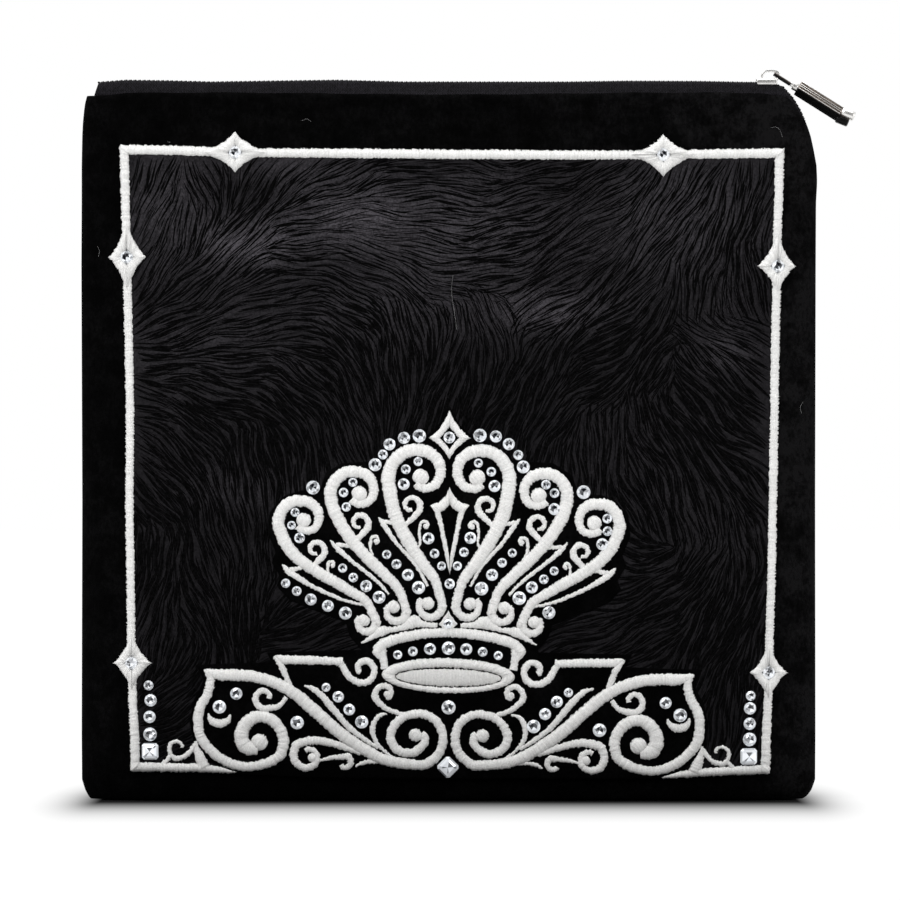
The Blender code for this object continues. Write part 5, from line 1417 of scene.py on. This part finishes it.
CHAIN_HEIGHT = 241.1
CHAIN_ROUTE = (
    # x, z along the middle of the coils; the right end bends down the shoulder
    (-118.2, 241.1), (-109.0, 241.8), (-95.0, 241.6), (-80.0, 241.2), (-60.0, 241.5),
    (-38.0, 241.8), (-15.0, 241.2), (40.0, 241.2), (60.0, 241.5), (85.0, 241.4), (100.0, CHAIN_HEIGHT),
    (108.5, CHAIN_HEIGHT), (112.5, 239.6), (115.7, 236.0), (118.2, 231.8), (120.1, 227.3),
)
COIL_PITCH = 1.55
COIL_HALF = 2.36       # half width of one coil across the zip
WIRE = 0.33            # half thickness of its wire
TAPE_HALF = 0.2        # half thickness of the tape


def route_at(distance):
    """Place and direction of the coils' middle line at a distance from its left end."""
    gone = 0.0
    for (x0, z0), (x1, z1) in zip(CHAIN_ROUTE, CHAIN_ROUTE[1:]):
        run = hypot(x1 - x0, z1 - z0)
        if distance <= gone + run or (x1, z1) == CHAIN_ROUTE[-1]:
            t = (distance - gone) / run
            return lerp(x0, x1, t), lerp(z0, z1, t), (x1 - x0) / run, (z1 - z0) / run
        gone += run


def route_length():
    return sum(hypot(x1 - x0, z1 - z0)
               for (x0, z0), (x1, z1) in zip(CHAIN_ROUTE, CHAIN_ROUTE[1:]))


def tube(points, radius, sides=6):
    """A closed tube along a line of points, in millimetres."""
    line = [Vector(p) for p in points]
    made, faces = [], []
    across = None
    for k, here in enumerate(line):
        along = (line[min(k + 1, len(line) - 1)] - line[max(k - 1, 0)]).normalized()
        if across is None:
            across = along.orthogonal().normalized()
        across = (across - along * across.dot(along)).normalized()
        third = along.cross(across)
        for s in range(sides):
            angle = 2.0 * pi * s / sides
            made.append(here + (across * cos(angle) + third * sin(angle)) * radius)
    for k in range(len(line) - 1):
        for s in range(sides):
            n = (s + 1) % sides
            faces.append((k * sides + s, k * sides + n, (k + 1) * sides + n, (k + 1) * sides + s))
    faces.append(tuple(range(sides)))
    faces.append(tuple(range(len(made) - 1, len(made) - 1 - sides, -1)))
    return made, faces


def joined(parts):
    """Points and faces of several shapes as one list of each."""
    points, faces = [], []
    for more, those in parts:
        start = len(points)
        points += more
        faces += [tuple(start + c for c in face) for face in those]
    return points, faces


TURN = (
    # one turn of a coil: share of the pitch, place across towards its own tape, lift
    (0.00, 1.00, 0.48), (0.10, 0.24, 0.54), (0.18, -0.22, 0.40), (0.25, -0.38, 0.0),
    (0.32, -0.22, -0.40), (0.40, 0.24, -0.54), (0.52, 1.00, -0.48), (0.76, 1.13, 0.0),
)


def slimmed(x):
    """The chain closes up where it bends down the shoulder."""
    return lerp(1.0, 0.66, smooth((x - 112.0) / 4.0))


def zip_coils():
    """Two coils whose heads lock into each other, wound like the real ones."""
    parts = []
    turns = int(route_length() / COIL_PITCH)
    for towards, start in ((-1.0, 0.0), (1.0, 0.5)):
        line = []
        for number in range(turns):
            for share, across, lift in TURN:
                x, z, east, up = route_at((number + start * 0.999 + share) * COIL_PITCH)
                line.append((x - up * lift, towards * across * COIL_HALF * slimmed(x), z + east * lift))
        parts.append(tube(line, WIRE))
    settle(piece_of("zip_coils", *joined(parts)), COIL, ["zip_chain"])


def tape(name, towards, node):
    """One side's tape: down beside the coils, over the fold and on inside the mouth."""
    rows = []
    count = 170
    for k in range(count + 1):
        gone = (route_length() - 1.6) * k / count
        x0, z0, east, up = route_at(gone)
        slim = slimmed(x0)
        sag = 0.10 * sin(0.11 * x0) + 0.06 * sin(0.31 * x0 + 1.0)
        deepest = lerp(15.0, 4.6, smooth((x0 - 102.0) / 7.0))
        row = []
        for place, (out, down) in enumerate(((3.28, -0.30), (3.50, 0.8), (3.90, 2.2), (4.40, 3.6),
                                             (4.60, min(6.0, deepest)), (4.60, deepest + 0.8))):
            lean = 0.45 * min(down, 5.0) * (1.0 - smooth(gone / 7.0))
            x, z = x0 + up * down - max(0.0, lean), z0 - east * down
            room = max(0.9, depth(x, min(z, TOP)) - CLOTH - GAP - 0.45)
            out = min(out * slim, room) if place > 2 else out * slim
            row.append((x, towards * (out + sag * 0.5 * (0 < place < 3)), z))
        rows.append(row)
    wide = len(rows[0])
    points, faces = [], []
    for row in rows:
        for side in (1.0, -1.0):
            for i, (x, y, z) in enumerate(row if side > 0 else row[::-1]):
                k = i if side > 0 else wide - 1 - i
                a = row[max(0, k - 1)]
                b = row[min(wide - 1, k + 1)]
                along = Vector((b[1] - a[1], b[2] - a[2])).normalized()
                out = side * TAPE_HALF * towards
                points.append((x, y - along.y * out, z + along.x * out))
    ring = 2 * wide
    for r in range(count):
        for k in range(ring):
            n = (k + 1) % ring
            faces.append((r * ring + k, r * ring + n, (r + 1) * ring + n, (r + 1) * ring + k))
    faces.append(tuple(range(ring)))
    faces.append(tuple(range(len(points) - 1, len(points) - 1 - ring, -1)))
    made = piece_of(name, points, faces)
    settle(made, TAPE, [node])


# Slider and pull, modelled as by hand

def in_mm(*place):
    return tuple(c * MM for c in place)


def block(name, low, high, bevel=0.0, segments=2):
    """A cube at its size and place with its edges rounded in edit mode."""
    bpy.ops.object.select_all(action="DESELECT")
    middle = [(a + b) / 2.0 for a, b in zip(low, high)]
    bpy.ops.mesh.primitive_cube_add(size=1.0, location=in_mm(*middle),
                                    scale=in_mm(*[b - a for a, b in zip(low, high)]))
    made = bpy.context.object
    made.name = name
    bpy.ops.object.transform_apply(location=True, rotation=True, scale=True)
    if bevel:
        with edited(made, whole=True):
            bpy.ops.mesh.bevel(offset=bevel * MM, segments=segments, affect="EDGES")
    return made


def rod(name, start, end, radius, far_radius=None, sides=24, bevel=0.12):
    """A round bar between two places, its ends rounded over."""
    bpy.ops.object.select_all(action="DESELECT")
    start, end = Vector(start), Vector(end)
    along = end - start
    bpy.ops.mesh.primitive_cone_add(vertices=sides, radius1=radius * MM,
                                    radius2=(radius if far_radius is None else far_radius) * MM,
                                    depth=along.length * MM)
    made = bpy.context.object
    made.name = name
    made.rotation_mode = "QUATERNION"
    made.rotation_quaternion = along.to_track_quat("Z", "Y")
    made.location = (start + end) / 2.0 * MM
    bpy.ops.object.transform_apply(location=True, rotation=True, scale=True)
    select_where(made, "EDGE", lambda edge: len(edge.link_faces) == 2
                 and any(len(face.verts) > 4 for face in edge.link_faces))
    with edited(made):
        bpy.ops.mesh.bevel(offset=bevel * MM, segments=2, affect="EDGES")
    return made


def select_where(made, kind, wanted):
    """Select a piece's faces or edges by a test of their place or direction."""
    with edited(made):
        bpy.ops.mesh.select_mode(type=kind)
        bpy.ops.mesh.select_all(action="DESELECT")
        work = bmesh.from_edit_mesh(made.data)
        for part in (work.faces if kind == "FACE" else work.edges):
            if wanted(part):
                part.select_set(True)
        bmesh.update_edit_mesh(made.data)


def drawn_strap(name, line, across, thick):
    """A flat strap drawn out step by step along a line of (x, z) places."""
    headings = []
    for k in range(len(line)):
        (x0, z0), (x1, z1) = line[max(0, k - 1)], line[min(len(line) - 1, k + 1)]
        headings.append(atan2(z1 - z0, x1 - x0))
    bpy.ops.object.select_all(action="DESELECT")
    bpy.ops.mesh.primitive_plane_add(size=1.0, location=in_mm(line[0][0], 0.0, line[0][1]),
                                     rotation=(0.0, pi / 2 - headings[0], 0.0))
    made = bpy.context.object
    made.name = name
    made.scale = in_mm(thick, across, 1000.0)
    bpy.ops.object.transform_apply(location=True, rotation=True, scale=True)
    with edited(made, whole=True):
        for k in range(1, len(line)):
            step = in_mm(line[k][0] - line[k - 1][0], 0.0, line[k][1] - line[k - 1][1])
            bpy.ops.mesh.extrude_region_move(TRANSFORM_OT_translate={"value": step})
            bpy.ops.transform.rotate(value=headings[k] - headings[k - 1], orient_axis="Y",
                                     center_override=in_mm(line[k][0], 0.0, line[k][1]))
        bpy.ops.mesh.select_all(action="SELECT")
        bpy.ops.mesh.normals_make_consistent(inside=False)
    select_where(made, "EDGE", lambda edge: edge.calc_face_angle(0.0) > 1.0)
    with edited(made):
        bpy.ops.mesh.bevel(offset=0.15 * MM, segments=2, affect="EDGES")
    return made


def joined_up(name, parts):
    """Join modelled parts as one object and shade it."""
    bpy.ops.object.select_all(action="DESELECT")
    for part in parts:
        part.select_set(True)
    bpy.context.view_layer.objects.active = parts[0]
    bpy.ops.object.join()
    made = bpy.context.object
    made.name = name
    made.data.name = name
    bpy.ops.object.shade_smooth_by_angle(angle=radians(38.0))
    return made


def zip_slider():
    """Shield-shaped plate with turned-down sides, and the arched bridge over it."""
    top = CHAIN_HEIGHT + 0.85 + 0.3
    plate = block("slider_plate", (SLIDER_LEFT, -SLIDER_HALF, top),
                  (SLIDER_RIGHT, SLIDER_HALF, top + 0.75))
    for x, pinch in ((SLIDER_LEFT, 0.62), (SLIDER_RIGHT, 0.88)):
        select_where(plate, "FACE", lambda face, x=x: abs(face.normal.x) > 0.9
                     and abs(face.calc_center_median().x - x * MM) < 0.2 * MM)
        with edited(plate):
            bpy.ops.transform.resize(value=(1.0, pinch, 1.0), center_override=in_mm(x, 0.0, top + 0.3))
    with edited(plate, whole=True):
        bpy.ops.mesh.bevel(offset=0.28 * MM, segments=3, affect="EDGES")
    select_where(plate, "FACE", lambda face: face.normal.z > 0.9 and face.calc_area() > 2e-5)
    with edited(plate):
        bpy.ops.mesh.inset(thickness=0.5 * MM, depth=0.12 * MM)
    parts = [plate]
    for towards in (-1.0, 1.0):
        low, high = sorted((towards * (SLIDER_HALF - 0.9), towards * SLIDER_HALF))
        parts.append(block("slider_flange", (SLIDER_LEFT + 0.3, low, top - 1.45),
                           (SLIDER_RIGHT - 0.3, high, top + 0.3), 0.25, 3))
    arch = [(105.6, top + 0.4), (105.7, 244.2), (106.3, 245.0), (107.2, 245.45), (108.6, 245.5),
            (110.2, 245.4), (111.2, 245.0), (111.5, 244.4)]
    parts.append(drawn_strap("slider_arch", arch, 2.3, 0.75))
    settle(joined_up("zip_slider", parts), NICKEL, ["slider"])


def zip_pull():
    """Bright parts of the pull: pin, yoke, collar, bright strips on the bar's ridges that are painted
    highlights, and the far prongs.
    """
    parts = [rod("pull_pin", (0.0, -2.35, 0.0), (0.0, 2.35, 0.0), 0.5)]
    for towards in (-1.0, 1.0):
        parts.append(rod("pull_prong", (25.6, towards * 0.6, 1.4), (30.0, towards * 1.0, 2.2),
                         1.45, far_radius=1.6, bevel=0.35))
    parts.append(block("pull_yoke", (5.6, -2.4, -0.55), (7.0, 2.4, 0.65), 0.3, 3))
    parts.append(rod("pull_collar", (6.8, 0.0, 0.1), (9.1, 0.0, 0.25), 1.4, sides=32, bevel=0.35))
    # Thin nickel strips along the ridges of one face of the bar: painted highlights.
    for across in (-1.75, -0.50, 0.45, 1.75):
        ridge = block("pull_ridge", (9.0, across - 0.075, 1.60), (25.3, across + 0.075, 1.98), 0.03, 2)
        set_on_edge(ridge)
        parts.append(ridge)
    hung("zip_pull", parts, NICKEL)


def pull_bar():
    """Dark parts of the pull: two arms, the bar with its neck, and the lobes under the prongs."""
    parts = [ribbed_bar(), rod("pull_neck", (24.8, 0.0, 0.3), (27.2, 0.0, 0.3), 1.6,
                               far_radius=2.0, sides=32, bevel=0.3)]
    for towards in (-1.0, 1.0):
        low, high = sorted((towards * 1.45, towards * 2.4))
        parts.append(block("pull_arm", (-0.65, low, -0.55), (6.2, high, 0.55), 0.22, 3))
        parts.append(rod("pull_lobe", (25.2, towards * 0.8, -1.4), (29.4, towards * 1.2, -0.7),
                         1.4, far_radius=1.3, bevel=0.35))
    hung("pull_bar", parts, SMOKED)


def hung(name, parts, finish):
    """Join parts drawn along the pull's own axis and hang them on the pin at rest."""
    made = joined_up(name, parts)
    made.rotation_mode = "XYZ"
    made.rotation_euler = (0.0, HANG, 0.0)
    made.location = in_mm(PIN[0], 0.0, PIN[1])
    alone(made)
    bpy.ops.object.transform_apply(location=True, rotation=True, scale=True)
    settle(made, finish, ["pull"], body="pull")


def set_on_edge(made):
    """Turn a part by an eighth about the pull's axis and lift it to the bar's height."""
    with edited(made, whole=True):
        bpy.ops.transform.rotate(value=radians(-45.0), orient_axis="X",
                                 center_override=(0.0, 0.0, 0.0))
        bpy.ops.transform.translate(value=in_mm(0.0, 0.0, 0.3))


def ribbed_bar():
    """A square bar on its edge, with a long channel sunk in each face."""
    bar = block("pull_bar", (8.7, -2.0, -1.85), (25.6, 2.0, 1.85), 0.22, 2)
    for direction in ((0.0, 0.0, 1.0), (0.0, 1.0, 0.0), (0.0, -1.0, 0.0), (0.0, 0.0, -1.0)):
        aim = Vector(direction)
        select_where(bar, "FACE", lambda face, aim=aim: face.normal.dot(aim) > 0.98
                     and face.calc_area() > 3e-5)
        with edited(bar):
            bpy.ops.mesh.inset(thickness=0.42 * MM, depth=0.0)
            bpy.ops.mesh.inset(thickness=0.10 * MM, depth=-0.16 * MM)
    set_on_edge(bar)
    return bar


# Lint

LINT_LINES = (
    # chart places along single fibres caught on the pile
    ((772.0, 127.0), (776.5, 126.2), (780.5, 129.0), (783.2, 136.5)),
    ((453.0, 275.0), (451.6, 292.0), (454.4, 312.0), (457.0, 330.0)),
    ((166.8, 140.4), (168.6, 141.8), (170.0, 141.0)),
    ((96.4, 246.0), (98.8, 251.0), (97.4, 256.4)),
    ((804.0, 402.0), (801.2, 407.0), (802.6, 413.4)),
    ((301.0, 120.0), (306.4, 118.2), (310.6, 120.8)),
)


def stray_lint():
    parts = []
    for line in LINT_LINES:
        stations = curve_through([(c, r, 0.0) for c, r in line], 6)
        lift = 0.25 if line[0][1] < 150.0 or line[0][0] < 120.0 or line[0][0] > 790.0 else 1.5
        parts.append(tube([on_front(*chart(c, r), lift) for c, r, _ in stations], 0.035, 4))
    settle(piece_of("stray_lint", *joined(parts)), LINT)


# Floor, light and camera

# Soft shadow on the floor, in metres.
SHADOW_HALF_WIDTH = 0.117
SHADOW_HALF_DEPTH = 0.016
SHADOW_FADE = 0.0866


def studio():
    """White floor with the bag's soft shadow painted round its foot, the sky and three lamps."""
    bpy.ops.object.select_all(action="DESELECT")
    bpy.ops.mesh.primitive_plane_add(size=14.0, location=(0.0, 3.0, -0.0004))
    floor = bpy.context.object
    floor.name = "studio_floor"
    bpy.ops.object.transform_apply(location=True, rotation=True, scale=True)
    paper = Finish("white_paper")
    place = paper.place()
    grain = paper.noise(place, 3.0, 2.0)
    x, y, _ = paper.axes(place)
    beside = (x.size() - SHADOW_HALF_WIDTH).at_least(0.0) * 8.0
    before = ((y + 0.004).size() - SHADOW_HALF_DEPTH).at_least(0.0)
    away = (beside * beside + before * before) ** 0.5
    lit = 1.0 - (-1.0 * (away / SHADOW_FADE) ** 1.4).exponential()
    floor.data.materials.append(paper.surface({
        "Base Color": paper.blended(lit, grey(0.01), paper.blended(grain, grey(0.04), grey(0.05))),
        "Roughness": 0.9, "Specular IOR Level": 0.0,
        "Emission Color": paper.blended(lit, grey(0.0), grey(1.0)), "Emission Strength": 1.0}))

    world = bpy.context.scene.world or bpy.data.worlds.new("studio")
    bpy.context.scene.world = world
    world.use_nodes = True
    sky = Finish("studio", world)
    _, forward, _ = sky.axes(sky.node("ShaderNodeTexCoord", give="Generated"))
    behind = sky.node("ShaderNodeMapRange", {}, {"Value": forward, "From Min": -0.9, "From Max": -0.2,
                                                 "To Min": 0.10, "To Max": 0.80})
    seen = sky.node("ShaderNodeLightPath", give="Is Camera Ray")
    light = sky.node("ShaderNodeBackground", {}, {
        "Color": (1.0, 1.0, 1.0, 1.0),
        "Strength": sky.node("ShaderNodeMix", {}, {0: seen, 2: behind, 3: 1.0})})
    sky.node("ShaderNodeOutputWorld", {}, {"Surface": light})

    softbox("key_light", (-0.9, -1.3, 1.4), (0.0, 0.0, 0.14), 0.8, 21.0)
    softbox("fill_light", (1.3, -1.5, 0.7), (0.0, 0.0, 0.12), 1.0, 9.0)
    softbox("top_light", (0.0, 0.35, 1.5), (0.0, 0.0, 0.0), 1.4, 28.0)


def softbox(name, place, aim, size, power):
    lamp = bpy.data.lights.new(name, "AREA")
    lamp.shape = "SQUARE"
    lamp.size = size
    lamp.energy = power
    made = bpy.data.objects.new(name, lamp)
    bpy.context.collection.objects.link(made)
    made.location = place
    made.rotation_mode = "QUATERNION"
    made.rotation_quaternion = (Vector(aim) - Vector(place)).to_track_quat("-Z", "Y")


def camera():
    lens = bpy.data.cameras.new("camera")
    lens.sensor_width = SENSOR
    lens.lens = SENSOR * CAMERA_AWAY / FIELD_WIDTH
    lens.clip_start, lens.clip_end = 0.05, 50.0
    made = bpy.data.objects.new("camera", lens)
    bpy.context.collection.objects.link(made)
    made.location = Vector(CAMERA_AIM) - Vector((0.0, CAMERA_AWAY, 0.0))
    made.rotation_euler = (pi / 2, 0.0, 0.0)
    bpy.context.scene.camera = made


def main():
    camera()
    studio()
    front_velvet()
    back_velvet()
    satin_ground()
    pile_strands()
    satin_hairs()
    plain_ground()
    sewn_frame()
    for label, side in (("left", -1), ("right", 1)):
        for number in PLUMES:
            sewn_plume(label, number, side)
        sewn_base(label, side)
    sewn_circlet()
    glued_stones()
    zip_coils()
    tape("front_tape", -1.0, "zip_tape_front")
    tape("back_tape", 1.0, "zip_tape_back")
    zip_slider()
    zip_pull()
    pull_bar()
    stray_lint()


main()
bpy.context.scene.view_settings.view_transform = "Standard"
